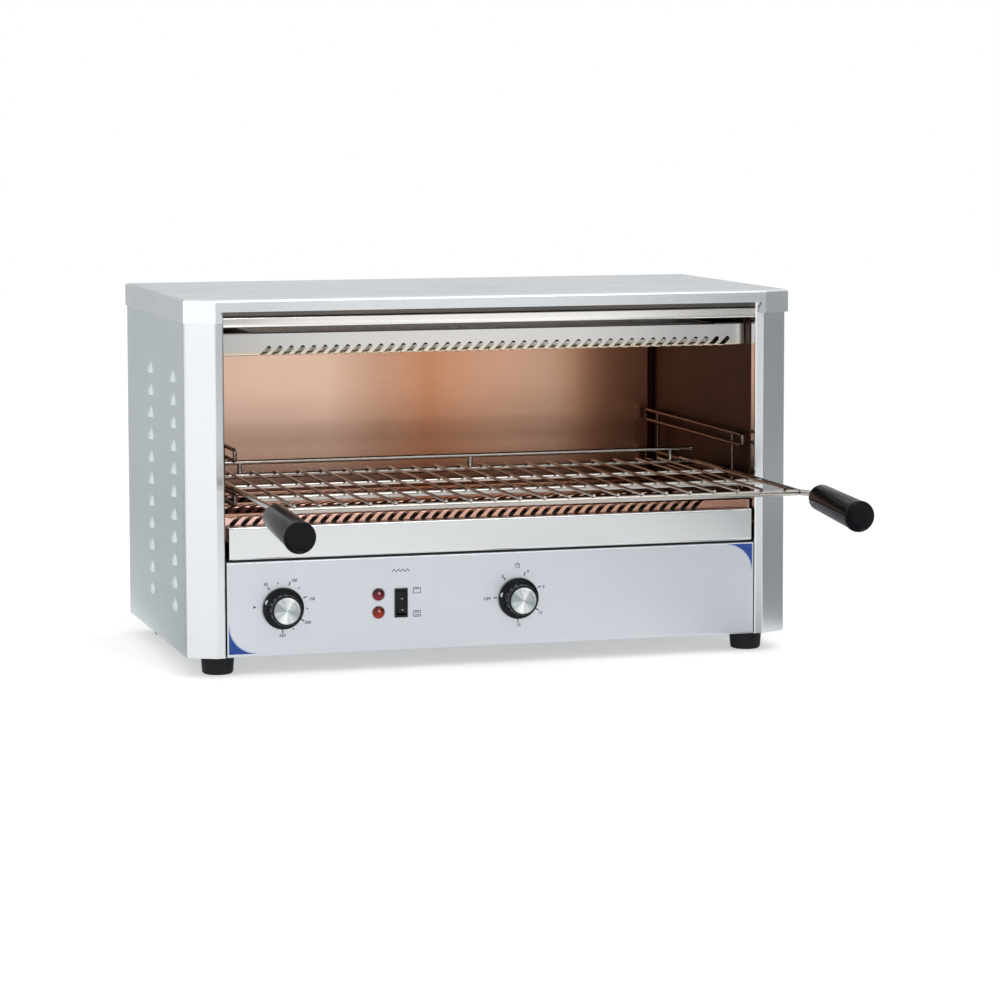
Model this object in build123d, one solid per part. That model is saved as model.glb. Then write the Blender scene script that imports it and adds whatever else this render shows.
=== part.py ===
from build123d import *
from math import atan2, cos, degrees, hypot, radians, sin, sqrt
import copy
import os

# Salamander toaster in millimetres. While it is built, X runs across the cabinet from its
# middle, Y runs back from the front strips of the corner posts, and Z runs up from the
# underside of the body. At the end the whole toaster is moved so that its origin lies on the
# table, below the middle of its outer box with the rack drawn out.

# Cabinet
body_width = 640.0
body_depth = 337.0
body_height = 361.1
sheet = 1.2
liner_sheet = 0.8
bend_radius = 2.4
seam_gap = 0.3
cut_margin = 1.0
flange_width = 14.0

# Corner posts, folded round the two front corners
post_face_width = 28.8
post_face_rake = 14.0
post_strip_width = 9.2
post_strip_rake = 1.6
post_wing_depth = 10.0
post_return_depth = 17.5

# Top cover
cover_height = 23.8
cover_side_overhang = 1.5
cover_front_overhang = 5.0
cover_back_overhang = 2.0
cover_corner_overhang = 4.6
cover_edge_radius = 3.5
fascia_height = 12.6
fascia_end_margin = 2.5

# Rail across the top of the cooking space
rail_height = 8.7
rail_below_fascia = 7.2
rail_recess = 3.0
rail_depth = 22.0

# Control panel and the bay behind it
panel_height = 96.7
panel_recess = 1.0
panel_side_gap = 1.0
panel_flange = 15.0
wire_hole_radius = 12.0
wire_hole_y = 70.0

# Louvres pressed out of the side and back sheets
louvre_radius = 13.0
louvre_rise = 4.0
louvre_pitch = 23.4
louvre_rows = 11
louvre_first_z = 40.5
louvre_front_y = 75.0
louvre_rear_y = 201.0
back_louvre_columns = 7
back_louvre_rows = 3
back_louvre_spacing = 62.0
back_louvre_first_below_top = 125.5

# Cooking space
liner_side_gap = 1.0
liner_rear_flange = 6.5
back_air_gap = 7.0
ceiling_below_rail = 1.6
cavity_front_y = 15.2

# Slotted guards over and under the heating elements
guard_depth = 30.0
guard_height = 22.0
guard_end_gap = 1.0
slot_pitch = 11.7
slot_width = 4.6
slot_climb = 7.4
slot_run_back = 15.0
upper_slots_left_margin = 42.8
upper_slots_right_margin = 20.0
lower_slots_left_margin = 14.0
lower_slots_right_margin = 48.0
guard_rows = 3
upper_guard_front_y = 30.0
upper_guard_pitch = 95.0
upper_guard_below_ceiling = 7.0
lower_guard_front_y = 12.0
lower_guard_pitch = 92.0
lower_guard_above_bay = 21.1
bracket_shelf_width = 34.0

# Heating elements
element_radius = 4.25
element_overhang = 14.0
element_tip_rounding = 1.4
insulator_radius = 8.0
insulator_neck_radius = 5.8
insulator_flange = 5.0
insulator_neck_inside = 1.5
running_gap = 0.05

# Wire guides on the side walls
guide_wire_radius = 2.0
guide_loop_height = 11.0
lower_guide_top_z = 166.1
guide_level_pitch = 45.0
guide_front_y = 5.0
guide_rear_gap = 8.0
guide_upright_front_inset = 43.0
guide_upright_rear_inset = 30.0
guide_wall_gap = 4.7
guide_weld_bite = 0.2

# Rack, drawn out as it rests
rack_rod_radius = 3.0
rack_side_gap = 14.0
rack_front_bar_y = -168.0
rack_depth = 310.0
rack_cross_bars = 4
rack_wire_radius = 1.5
rack_wire_pitch = 25.0
rack_wire_weld_bite = 0.2
rack_wire_tip = 3.0
rack_stop_lift = 14.0
rack_stop_radius = 2.5
rack_stop_leg_inset = 12.0
handle_offset = 8.0
handle_bend_start_y = -166.0
handle_bend_end_y = -183.0
handle_bend_radius = 14.0
handle_slope_angle = 4.2
grip_start_y = -197.0
grip_length = 107.0
grip_start_radius = 13.2
grip_end_radius = 14.8
grip_rim_radius = 15.4
grip_rim_length = 5.0
grip_start_rounding = 6.0
grip_rim_rounding = 1.4
grip_bore_depth = 60.0

# Crumb tray
tray_front_height = 33.3
tray_front_end_gap = 3.7
tray_gap_over_panel = 2.3
tray_front_recess = 0.4
tray_front_flange = 8.0
tray_side_height = 15.0
tray_side_gap = 6.5
tray_back_gap = 12.0

# Feet and screws
foot_height = 20.0
foot_radius = 17.2
foot_base_radius = 15.6
foot_edge_radius = 3.0
foot_boss_radius = 8.0
foot_side_inset = 35.4
foot_front_y = 34.0
foot_rear_inset = 37.0
foot_bore_radius = 7.0
foot_bore_depth = 11.0
screw_head_radius = 4.0
screw_head_height = 2.4
screw_radius = 2.0
screw_length = 12.0
screw_clearance = 0.1
back_screw_rows = 4
back_screw_first_z = 30.0
back_screw_top_margin = 42.5

# Knobs
knob_z = 48.2
thermostat_inset = 57.4
timer_from_switch = 124.5
knob_radius = 21.2
knob_base_height = 3.0
knob_waist_radius = 17.0
knob_top_radius = 15.0
knob_height = 19.0
knob_panel_gap = 0.8
knob_edge_radius = 1.0
knob_cap_radius = 13.5
knob_cap_sunk = 1.0
knob_cap_proud = 0.5
knob_bore_depth = 13.0
shaft_radius = 3.0
shaft_in_body = 12.0
shaft_hole_radius = 5.0
control_body_width = 46.0
control_body_depth = 30.0
bush_radius = 4.8
capillary_radius = 0.9
bulb_radius = 3.0
bulb_length = 80.0
bulb_y = 110.0
bulb_below_ceiling = 41.0
tube_above_shaft = 11.5

# Pilot lamps and rocker switch
lamps_from_thermostat = 99.1
lamp_radius = 6.0
lamp_rise = 4.2
lamp_barrel_radius = 4.2
lamp_barrel_length = 24.0
lamp_spacing = 18.4
lamp_centre_z = 49.1
switch_from_lamps = 23.8
switch_z = 48.8
switch_width = 13.6
switch_height = 29.8
switch_bezel = 2.0
switch_edge_radius = 0.7
switch_body_depth = 20.0
switch_body_inset = 1.0
switch_wall = 1.9
rocker_radius = 12.1
rocker_gap = 0.4
rocker_pivot_depth = 4.5
rocker_back = 3.0
rocker_crest = 5.2
rocker_valley = 3.9
rocker_angle = 9.0
rocker_pin_radius = 1.2
rocker_pin_length = 1.0

# Mains inlet
gland_side_inset = 90.0
gland_z = 42.0
gland_bore_radius = 5.0
gland_thread_radius = 8.0
gland_flange_radius = 12.5
gland_flange_height = 4.0
gland_nose_radius = 9.5
gland_nose_length = 12.0
block_length = 62.0
block_depth = 22.0
block_height = 20.0
block_back_gap = 50.8
block_hole_radius = 2.2
block_hole_depth = 10.0
block_ways = 3

# Places worked out from the sizes above
half_width = body_width / 2
inner_half = half_width - sheet
opening_half = half_width - post_face_width - post_strip_width
strip_end_x = opening_half + post_strip_width
wing_end_y = post_face_rake + post_wing_depth
cover_bottom = body_height - cover_height
cover_ceiling = body_height - sheet
fascia_bottom = body_height - fascia_height
rail_top = fascia_bottom - rail_below_fascia
rail_bottom = rail_top - rail_height
rail_back_y = rail_recess + rail_depth
back_inner_y = body_depth - sheet
wall_top = cover_ceiling - bend_radius
bay_floor = sheet + sheet
shelf_bottom = panel_height
shelf_top = shelf_bottom + sheet
liner_half = opening_half - liner_side_gap
cavity_back_y = back_inner_y - back_air_gap - liner_sheet
ceiling_z = rail_bottom - ceiling_below_rail
upper_guard_top = ceiling_z - upper_guard_below_ceiling
upper_guard_bottom = upper_guard_top - guard_height
lower_guard_bottom = shelf_top + lower_guard_above_bay
lower_guard_top = lower_guard_bottom + guard_height
panel_face_y = panel_recess
panel_back_y = panel_recess + sheet
panel_half = opening_half - panel_side_gap
tray_bottom = panel_height + tray_gap_over_panel
tray_front_half = opening_half - tray_front_end_gap
guard_half = liner_half - guard_end_gap
back_screw_span = wall_top - back_screw_first_z - back_screw_top_margin
foot_x = half_width - foot_side_inset
foot_rear_y = body_depth - foot_rear_inset
guide_rear_y = cavity_back_y - guide_rear_gap
guide_loop_x = liner_half - guide_wall_gap - 3 * guide_wire_radius + guide_weld_bite
guide_upright_x = liner_half - guide_wall_gap - guide_wire_radius
rack_rod_x = liner_half - rack_side_gap
handle_x = rack_rod_x + handle_offset
rod_wire_distance = rack_rod_radius + guide_wire_radius + seam_gap
rack_rise = sqrt(rod_wire_distance**2 - (guide_loop_x - rack_rod_x) ** 2)
rack_z = lower_guide_top_z - guide_wire_radius + rack_rise
rack_rear_bar_y = rack_front_bar_y + rack_depth
thermostat_x = thermostat_inset - panel_half
lamp_x = thermostat_x + lamps_from_thermostat
switch_x = lamp_x + switch_from_lamps
timer_x = switch_x + timer_from_switch
knob_base_y = panel_face_y - knob_panel_gap
knob_face_y = knob_base_y - knob_height
rocker_pivot_y = panel_face_y - switch_bezel + rocker_pivot_depth
gland_x = half_width - gland_side_inset
block_y = back_inner_y - block_back_gap


# A box between two opposite corners
def block(x_start, x_end, y_start, y_end, z_start, z_end):
    middle = Pos((x_start + x_end) / 2, (y_start + y_end) / 2, (z_start + z_end) / 2)
    return middle * Box(abs(x_end - x_start), abs(y_end - y_start), abs(z_end - z_start))


# A round bar, or a cone if the second radius differs
def bar(start, end, radius, end_radius=None):
    place = Plane(origin=start, z_dir=Vector(end) - Vector(start))
    length = (Vector(end) - Vector(start)).length
    base = (Align.CENTER, Align.CENTER, Align.MIN)
    if end_radius is None or end_radius == radius:
        return place * Cylinder(radius, length, align=base)
    return place * Cone(radius, end_radius, length, align=base)


def mirrored(shape):
    return mirror(shape, about=Plane.YZ)


# The point where the two sides next to a corner meet after both move right by a distance
def corner_moved_right(before, corner, after, distance):
    into = atan2(corner[1] - before[1], corner[0] - before[0])
    out = atan2(after[1] - corner[1], after[0] - corner[0])
    middle = (into + out) / 2
    reach = distance / cos((out - into) / 2)
    return (corner[0] + reach * sin(middle), corner[1] - reach * cos(middle))


# The section of a folded sheet. The points follow its outer face, and the sheet lies on the
# right of them.
def folded_section(points, thickness, radius=bend_radius):
    inner = []
    for index, corner in enumerate(points):
        before = points[index - 1] if index else None
        after = points[index + 1] if index < len(points) - 1 else None
        if before is None:
            before = (2 * corner[0] - after[0], 2 * corner[1] - after[1])
        if after is None:
            after = (2 * corner[0] - before[0], 2 * corner[1] - before[1])
        inner.append(corner_moved_right(before, corner, after, thickness))
    outer_radii = []
    inner_radii = []
    for index in range(1, len(points) - 1):
        before, corner, after = points[index - 1], points[index], points[index + 1]
        into = (corner[0] - before[0], corner[1] - before[1])
        out = (after[0] - corner[0], after[1] - corner[1])
        turns_right = into[0] * out[1] - into[1] * out[0] < 0
        outer_radii.append(radius if turns_right else radius - thickness)
        inner_radii.append(radius - thickness if turns_right else radius)
    outer_line = FilletPolyline(*points, radius=outer_radii)
    inner_line = FilletPolyline(*inner, radius=inner_radii)
    first_end = Line(outer_line @ 0, inner_line @ 0)
    last_end = Line(outer_line @ 1, inner_line @ 1)
    return make_face([outer_line, last_end, inner_line, first_end])


# A folded section given in Y and Z, drawn out along X
def folded_along_x(points, thickness, x_start, x_end, radius=bend_radius):
    section = folded_section(points, thickness, radius)
    return extrude(Plane.YZ.offset(x_start) * section, amount=x_end - x_start)


# A folded section given in X and Y, drawn out along Z
def folded_along_z(points, thickness, z_start, z_end, radius=bend_radius):
    section = folded_section(points, thickness, radius)
    return extrude(Plane.XY.offset(z_start) * section, amount=z_end - z_start)


# A folded section given in X and Z, drawn out along Y
def folded_along_y(points, thickness, y_start, y_end, radius=bend_radius):
    section = folded_section(points, thickness, radius)
    return extrude(Plane.XZ.offset(-y_start) * section, amount=y_start - y_end)


# A corner post, with its angled face outwards
def right_post():
    outer_face = [
        (half_width, wing_end_y),
        (half_width, post_face_rake),
        (strip_end_x, 0),
        (opening_half, post_strip_rake),
        (opening_half, post_return_depth),
    ]
    return folded_along_z(outer_face, sheet, 0, cover_ceiling - cover_edge_radius)


# A floor that runs between the side sheets and round the backs of the posts
def cabinet_floor(z_start, z_end, front_y, rear_y):
    post_back = wing_end_y + seam_gap
    between_posts = block(-opening_half, opening_half, front_y, post_back, z_start, z_end)
    return between_posts + block(-inner_half, inner_half, post_back, rear_y, z_start, z_end)


def screw_hole(start, end):
    return bar(start, end, screw_radius + screw_clearance)


def foot_places():
    return [(side * foot_x, y) for y in (foot_front_y, foot_rear_y) for side in (-1, 1)]


def back_screw_places():
    x_place = inner_half - flange_width / 2
    rows = range(back_screw_rows)
    pitch = back_screw_span / (back_screw_rows - 1)
    heights = [back_screw_first_z + row * pitch for row in rows]
    return [(side * x_place, z) for side in (-1, 1) for z in heights]


def base_pan():
    pan = cabinet_floor(sheet, bay_floor, panel_back_y + bend_radius, back_inner_y)
    side_y = wing_end_y + seam_gap
    rear_end = back_inner_y - sheet - seam_gap
    for side in (-1, 1):
        wall = (side * inner_half, side * (inner_half - sheet))
        pan += block(*wall, side_y, rear_end, sheet, sheet + flange_width)
    rear_half = inner_half - flange_width - seam_gap
    rear_start = back_inner_y - sheet
    pan += block(-rear_half, rear_half, rear_start, back_inner_y, sheet, sheet + flange_width)
    for x, y in foot_places():
        pan -= screw_hole((x, y, 0), (x, y, bay_floor + sheet))
    return pan


# One louvre: half a round cap that stands out along X and is open below
def louvre_sphere(inset):
    outer_radius = (louvre_radius**2 + louvre_rise**2) / (2 * louvre_rise)
    return Pos(louvre_rise - outer_radius, 0, 0) * Sphere(outer_radius - inset)


def louvre_hood():
    room = louvre_radius + louvre_rise
    return (louvre_sphere(0) & block(0, room, -room, room, 0, room)) - louvre_sphere(sheet)


def louvre_hole():
    room = louvre_radius + louvre_rise
    return louvre_sphere(sheet) & block(-2 * sheet, room, -room, room, 0, room)


def with_louvres(wall, places):
    pierced = wall - [place * louvre_hole() for place in places]
    return pierced + [place * louvre_hood() for place in places]


def right_side_panel():
    front_y = wing_end_y + seam_gap
    rear_y = back_inner_y - sheet
    flange_x = inner_half - flange_width
    wall = block(inner_half, half_width, rear_y, body_depth, 0, wall_top)
    outer_face = [(flange_x, cover_ceiling), (half_width, cover_ceiling), (half_width, 0)]
    wall += folded_along_y(outer_face, sheet, front_y, rear_y)
    rows = [louvre_first_z + row * louvre_pitch for row in range(louvre_rows)]
    places = [Pos(half_width, y, z) for y in (louvre_front_y, louvre_rear_y) for z in rows]
    wall = with_louvres(wall, places)
    flange_top = wall_top - sheet
    flange_bottom = bay_floor + sheet
    flange = block(flange_x, inner_half, rear_y, back_inner_y, flange_bottom, flange_top)
    for x, z in back_screw_places():
        flange -= screw_hole((x, rear_y - sheet, z), (x, body_depth, z))
    return wall + flange


def back_panel():
    panel = block(-inner_half, inner_half, back_inner_y, body_depth, 0, wall_top)
    flange_half = inner_half - flange_width - seam_gap
    outer_face = [
        (body_depth, wall_top - flange_width),
        (body_depth, cover_ceiling),
        (body_depth - flange_width, cover_ceiling),
    ]
    outer_face.reverse()
    panel += folded_along_x(outer_face, sheet, -flange_half, flange_half)
    middle = (back_louvre_columns - 1) / 2
    columns = [(index - middle) * back_louvre_spacing for index in range(back_louvre_columns)]
    first_z = wall_top - back_louvre_first_below_top
    rows = [first_z + row * louvre_pitch for row in range(back_louvre_rows)]
    turned = Rotation(0, 0, 90)
    panel = with_louvres(panel, [Pos(x, body_depth, z) * turned for x in columns for z in rows])
    for x, z in back_screw_places():
        panel -= screw_hole((x, back_inner_y - sheet, z), (x, body_depth + sheet, z))
    gland_start = (gland_x, back_inner_y - sheet, gland_z)
    gland_end = (gland_x, body_depth + sheet, gland_z)
    return panel - bar(gland_start, gland_end, gland_thread_radius + screw_clearance)


# Outline of the cover, seen from above, drawn in by an inset
def cover_outline(inset):
    side_x = half_width + cover_side_overhang - inset
    front_y = inset - cover_front_overhang
    back_y = body_depth + cover_back_overhang - inset
    face_length = hypot(post_face_width, post_face_rake)
    shift = cover_corner_overhang - inset
    point_x = strip_end_x + shift * post_face_rake / face_length
    point_y = -shift * post_face_width / face_length
    slope = post_face_rake / post_face_width
    front_corner_x = point_x + (front_y - point_y) / slope
    side_corner_y = point_y + (side_x - point_x) * slope
    half_outline = [(front_corner_x, front_y), (side_x, side_corner_y), (side_x, back_y)]
    other_half = [(-x, y) for x, y in reversed(half_outline)]
    return half_outline + other_half


def prism(points, z_start, z_end):
    outline = make_face(Polyline(*points, close=True))
    return extrude(Plane.XY.offset(z_start) * outline, amount=z_end - z_start)


def top_cover():
    shell = prism(cover_outline(0), cover_bottom, body_height)
    shell = fillet(shell.faces().sort_by(Axis.Z)[-1].edges(), cover_edge_radius)
    room = prism(cover_outline(sheet), cover_bottom, cover_ceiling)
    room = fillet(room.faces().sort_by(Axis.Z)[-1].edges(), cover_edge_radius - sheet)
    shell -= room
    # The front skirt is cut short over the rail, with slanted ends
    low_half = opening_half + fascia_end_margin
    high_half = low_half + fascia_end_margin
    mid_z = cover_bottom + (fascia_bottom - cover_bottom) / 2
    front_gap = [
        (-low_half, cover_bottom),
        (-low_half, mid_z),
        (-high_half, fascia_bottom),
        (high_half, fascia_bottom),
        (low_half, mid_z),
        (low_half, cover_bottom),
    ]
    gap_face = make_face(Polyline(*front_gap, close=True))
    gap_start = cover_front_overhang + sheet
    cutter = extrude(Plane.XZ.offset(gap_start) * gap_face, amount=-gap_start)
    return shell - cutter


def upper_front_rail():
    outer_face = [
        (rail_back_y, rail_bottom),
        (rail_recess, rail_bottom),
        (rail_recess, rail_top),
        (rail_back_y, rail_top),
    ]
    return folded_along_x(outer_face, sheet, -opening_half, opening_half)


def control_panel():
    outer_face = [
        (panel_flange, 0),
        (panel_face_y, 0),
        (panel_face_y, panel_height),
        (panel_flange, panel_height),
    ]
    panel = folded_along_x(outer_face, sheet, -panel_half, panel_half)
    for x in (thermostat_x, timer_x):
        start = (x, panel_face_y - sheet, knob_z)
        end = (x, panel_back_y + sheet, knob_z)
        panel -= bar(start, end, shaft_hole_radius)
    for z in lamp_heights():
        start = (lamp_x, panel_face_y - sheet, z)
        end = (lamp_x, panel_back_y + sheet, z)
        panel -= bar(start, end, lamp_barrel_radius + screw_clearance)
    half_x = switch_width / 2 - switch_body_inset + screw_clearance
    half_z = switch_height / 2 - switch_body_inset + screw_clearance
    y_range = (panel_face_y - sheet, panel_back_y + sheet)
    z_range = (switch_z - half_z, switch_z + half_z)
    return panel - block(switch_x - half_x, switch_x + half_x, *y_range, *z_range)


def control_bay_shelf():
    shelf = cabinet_floor(shelf_bottom, shelf_top, panel_back_y + bend_radius, back_inner_y - sheet)
    hole_x = (liner_half + inner_half) / 2
    for side in (-1, 1):
        start = (side * hole_x, wire_hole_y, shelf_bottom - sheet)
        end = (side * hole_x, wire_hole_y, shelf_top + sheet)
        shelf -= bar(start, end, wire_hole_radius)
    return shelf


def element_places():
    upper_z = upper_guard_bottom + guard_height / 2
    lower_z = lower_guard_bottom + guard_height / 2
    upper = [(y + guard_depth / 2, upper_z) for y in upper_guard_fronts()]
    lower = [(y + guard_depth / 2, lower_z) for y in lower_guard_fronts()]
    return upper, lower


def upper_guard_fronts():
    return [upper_guard_front_y + index * upper_guard_pitch for index in range(guard_rows)]


def lower_guard_fronts():
    return [lower_guard_front_y + index * lower_guard_pitch for index in range(guard_rows)]


# A side wall of the cooking space, folded in at its rear over the edge of the back wall
def right_liner():
    outer_x = liner_half + liner_sheet
    liner = block(liner_half, outer_x, cavity_front_y, cavity_back_y, shelf_top, ceiling_z)
    flange_start = liner_half - liner_rear_flange
    flange_y = cavity_back_y - liner_sheet
    liner += block(flange_start, outer_x, flange_y, cavity_back_y, shelf_top, ceiling_z)
    upper, lower = element_places()
    for y, z in upper + lower:
        start = (liner_half - sheet, y, z)
        end = (outer_x + sheet, y, z)
        liner -= bar(start, end, insulator_neck_radius + screw_clearance)
    return liner


def back_liner():
    half = liner_half + liner_sheet
    return block(-half, half, cavity_back_y, cavity_back_y + liner_sheet, shelf_top, ceiling_z)


def ceiling_reflector():
    half = liner_half + liner_sheet
    rear_y = cavity_back_y + liner_sheet
    front_y = rail_back_y + seam_gap
    return block(-half, half, front_y, rear_y, ceiling_z, ceiling_z + liner_sheet)


# A channel whose closed side is the bottom. Slanted slots cross the bend under its front wall.
def slotted_channel(first_slot_x, slot_count):
    outer_face = [
        (0, guard_height),
        (0, 0),
        (guard_depth, 0),
        (guard_depth, guard_height),
    ]
    outer_face.reverse()
    channel = folded_along_x(outer_face, liner_sheet, -guard_half, guard_half, 2 * liner_sheet)
    slot_radius = slot_width / 2
    for index in range(slot_count):
        x = first_slot_x + index * slot_pitch
        front_slot = slanted_slot((x, 0), (x + slot_climb, slot_climb), slot_radius)
        channel -= extrude(Plane.XZ * front_slot, amount=cut_margin, both=True)
        floor_slot = slanted_slot((x, 0), (x - slot_run_back, slot_run_back), slot_radius)
        channel -= extrude(floor_slot, amount=cut_margin, both=True)
    return channel


# How many slots fit along a guard between two margins
def slots_between(left_margin, right_margin):
    return int((2 * guard_half - left_margin - right_margin) // slot_pitch) + 1


def slanted_slot(start, end, radius):
    length = hypot(end[0] - start[0], end[1] - start[1])
    angle = degrees(atan2(end[1] - start[1], end[0] - start[0]))
    middle = Pos((start[0] + end[0]) / 2, (start[1] + end[1]) / 2)
    return middle * Rot(0, 0, angle) * SlotCenterToCenter(length, 2 * radius)


def upper_guards():
    slot_count = slots_between(upper_slots_left_margin, upper_slots_right_margin)
    channel = slotted_channel(upper_slots_left_margin - guard_half, slot_count)
    return [Pos(0, y, upper_guard_bottom) * channel for y in upper_guard_fronts()]


# The lower guards are the same channel with its closed side up
def lower_guards():
    slot_count = slots_between(lower_slots_left_margin, lower_slots_right_margin)
    last_slot_x = lower_slots_left_margin - guard_half + (slot_count - 1) * slot_pitch
    channel = slotted_channel(-last_slot_x, slot_count)
    upside_down = Rot(0, 180, 0)
    return [Pos(0, y, lower_guard_top) * upside_down * channel for y in lower_guard_fronts()]


def right_upper_bracket():
    front_y = upper_guard_front_y
    rear_y = upper_guard_fronts()[-1] + guard_depth
    shelf_start = liner_half - bracket_shelf_width
    shelf_top_z = upper_guard_top + sheet
    bracket = block(shelf_start, liner_half, front_y, rear_y, upper_guard_top, shelf_top_z)
    return bracket + block(
        liner_half - sheet, liner_half, front_y, rear_y, upper_guard_top, ceiling_z
    )


# The lower bracket carries the guards on its upper flange and the crumb tray on its lower one
def right_lower_bracket():
    front_y = cavity_front_y
    rear_y = cavity_back_y - liner_sheet - seam_gap
    shelf_start = liner_half - bracket_shelf_width
    top = lower_guard_bottom
    bracket = block(shelf_start, liner_half, front_y, rear_y, top - sheet, top)
    bracket += block(liner_half - sheet, liner_half, front_y, rear_y, shelf_top, top)
    return bracket + block(
        shelf_start, liner_half, front_y, rear_y, shelf_top, shelf_top + sheet
    )


def heating_element(y, z):
    half = liner_half + liner_sheet + insulator_flange + element_overhang
    rod = bar((-half, y, z), (half, y, z), element_radius)
    return fillet(rod.edges().filter_by(GeomType.CIRCLE), element_tip_rounding)


def right_insulator(y, z):
    start = liner_half - insulator_neck_inside
    seat = liner_half + liner_sheet + running_gap
    end = seat + insulator_flange
    ceramic = bar((start, y, z), (seat, y, z), insulator_neck_radius)
    ceramic += bar((seat, y, z), (end, y, z), insulator_radius)
    bore_start = (start - cut_margin, y, z)
    bore_end = (end + cut_margin, y, z)
    return ceramic - bar(bore_start, bore_end, element_radius + running_gap)


def right_insulators():
    upper, lower = element_places()
    return Compound(children=[right_insulator(y, z) for y, z in upper + lower])


# One closed loop of guide wire in the plane of the side wall
def guide_loop(top_z):
    half_turn = guide_loop_height / 2
    front_y = guide_front_y + guide_wire_radius + half_turn
    rear_y = guide_rear_y - guide_wire_radius - half_turn
    middle = (guide_loop_x, (front_y + rear_y) / 2, top_z - guide_wire_radius - half_turn)
    side_plane = Plane(origin=middle, x_dir=(0, 1, 0), z_dir=(1, 0, 0))
    path = (side_plane * SlotCenterToCenter(rear_y - front_y, guide_loop_height)).wire()
    section = Plane(origin=path @ 0, z_dir=path % 0) * Circle(guide_wire_radius)
    return sweep(section, path=path)


def right_guide():
    tops = [lower_guide_top_z, lower_guide_top_z + guide_level_pitch]
    guide = guide_loop(tops[0]) + guide_loop(tops[1])
    low_z = tops[0] - guide_loop_height - 2 * guide_wire_radius
    high_z = tops[1]
    upright_places = (
        guide_front_y + guide_upright_front_inset,
        guide_rear_y - guide_upright_rear_inset,
    )
    for y in upright_places:
        guide += bar((guide_upright_x, y, low_z), (guide_upright_x, y, high_z), guide_wire_radius)
        for z in (low_z + 2 * guide_wire_radius, high_z - 2 * guide_wire_radius):
            guide += bar((guide_upright_x, y, z), (liner_half, y, z), guide_wire_radius)
    return guide


def rack_wire_z():
    return rack_z + rack_rod_radius + rack_wire_radius - rack_wire_weld_bite


def cooking_rack():
    end_x = rack_rod_x - rack_rod_radius
    pieces = []
    for index in range(rack_cross_bars):
        y = rack_front_bar_y + index * rack_depth / (rack_cross_bars - 1)
        pieces.append(bar((-end_x, y, rack_z), (end_x, y, rack_z), rack_rod_radius))
    wires_each_side = int((end_x - rack_wire_radius) // rack_wire_pitch)
    start_y = rack_front_bar_y - rack_wire_tip
    end_y = rack_rear_bar_y + rack_wire_tip
    for index in range(-wires_each_side, wires_each_side + 1):
        x = index * rack_wire_pitch
        wire = bar((x, start_y, rack_wire_z()), (x, end_y, rack_wire_z()), rack_wire_radius)
        pieces.append(wire)
    return pieces[0] + pieces[1:]


def rack_rear_stop():
    bar_z = rack_z + rack_stop_lift
    end_x = rack_rod_x - rack_rod_radius
    stop = bar((-end_x, rack_rear_bar_y, bar_z), (end_x, rack_rear_bar_y, bar_z), rack_stop_radius)
    leg_foot = rack_z + rack_rod_radius
    half_pitch = rack_wire_pitch / 2
    leg_room = rack_rod_x - rack_stop_leg_inset
    leg_x = rack_wire_pitch * (leg_room // rack_wire_pitch) - half_pitch
    for x in (-leg_x, half_pitch, leg_x):
        start = (x, rack_rear_bar_y, leg_foot)
        stop += bar(start, (x, rack_rear_bar_y, bar_z), rack_stop_radius)
    return stop


# A point on the axis of the right handle, which slopes down towards the user
def handle_point(y):
    drop = (handle_bend_end_y - y) * sin(radians(handle_slope_angle))
    return (handle_x, y, rack_z - drop)


def right_handle_rod():
    rear = (rack_rod_x, rack_rear_bar_y + rack_rod_radius, rack_z)
    bend_start = (rack_rod_x, handle_bend_start_y, rack_z)
    bend_end = handle_point(handle_bend_end_y)
    tip = handle_point(grip_start_y - grip_bore_depth + seam_gap)
    path = FilletPolyline(rear, bend_start, bend_end, tip, radius=handle_bend_radius)
    section = Plane(origin=rear, z_dir=path % 0) * Circle(rack_rod_radius)
    return sweep(section, path=path)


def right_handle_grip():
    start = Vector(*handle_point(grip_start_y))
    direction = Vector(*handle_point(grip_start_y - grip_length)) - start
    direction = direction.normalized()
    rim_start = start + direction * (grip_length - grip_rim_length)
    end = start + direction * grip_length
    body = bar(start, rim_start, grip_start_radius, grip_end_radius)
    body = fillet(body.edges().group_by(Axis.Y)[-1], grip_start_rounding)
    rim = bar(rim_start, end, grip_rim_radius)
    rim = fillet(rim.edges().filter_by(GeomType.CIRCLE), grip_rim_rounding)
    bore_end = start + direction * grip_bore_depth
    return body + rim - bar(start, bore_end, rack_rod_radius + running_gap)


def crumb_tray():
    front_top = tray_bottom + tray_front_height
    outer_face = [
        (tray_front_recess + tray_front_flange, front_top),
        (tray_front_recess, front_top),
        (tray_front_recess, tray_bottom),
        (tray_front_recess + tray_front_flange, tray_bottom),
    ]
    outer_face.reverse()
    tray = folded_along_x(outer_face, sheet, -tray_front_half, tray_front_half)
    side_half = liner_half - tray_side_gap
    floor_z = shelf_top + sheet
    front_y = tray_front_recess + sheet
    rear_y = cavity_back_y - tray_back_gap
    side_top_z = floor_z + tray_side_height
    tray += block(-side_half, side_half, front_y, rear_y, floor_z, floor_z + liner_sheet)
    for side in (-1, 1):
        wall = (side * side_half, side * (side_half - liner_sheet))
        tray += block(*wall, front_y, rear_y, floor_z, side_top_z)
    rear_wall = (rear_y - liner_sheet, rear_y)
    return tray + block(-side_half, side_half, *rear_wall, floor_z, side_top_z)


def foot(x, y):
    rubber = bar((x, y, 0), (x, y, -foot_height), foot_radius, foot_base_radius)
    rubber = fillet(rubber.edges().group_by(Axis.Z)[0], foot_edge_radius)
    rubber += bar((x, y, 0), (x, y, sheet), foot_boss_radius)
    rubber -= bar((x, y, -foot_height), (x, y, foot_bore_depth - foot_height), foot_bore_radius)
    return rubber - screw_hole((x, y, -foot_height), (x, y, 2 * sheet))


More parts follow.
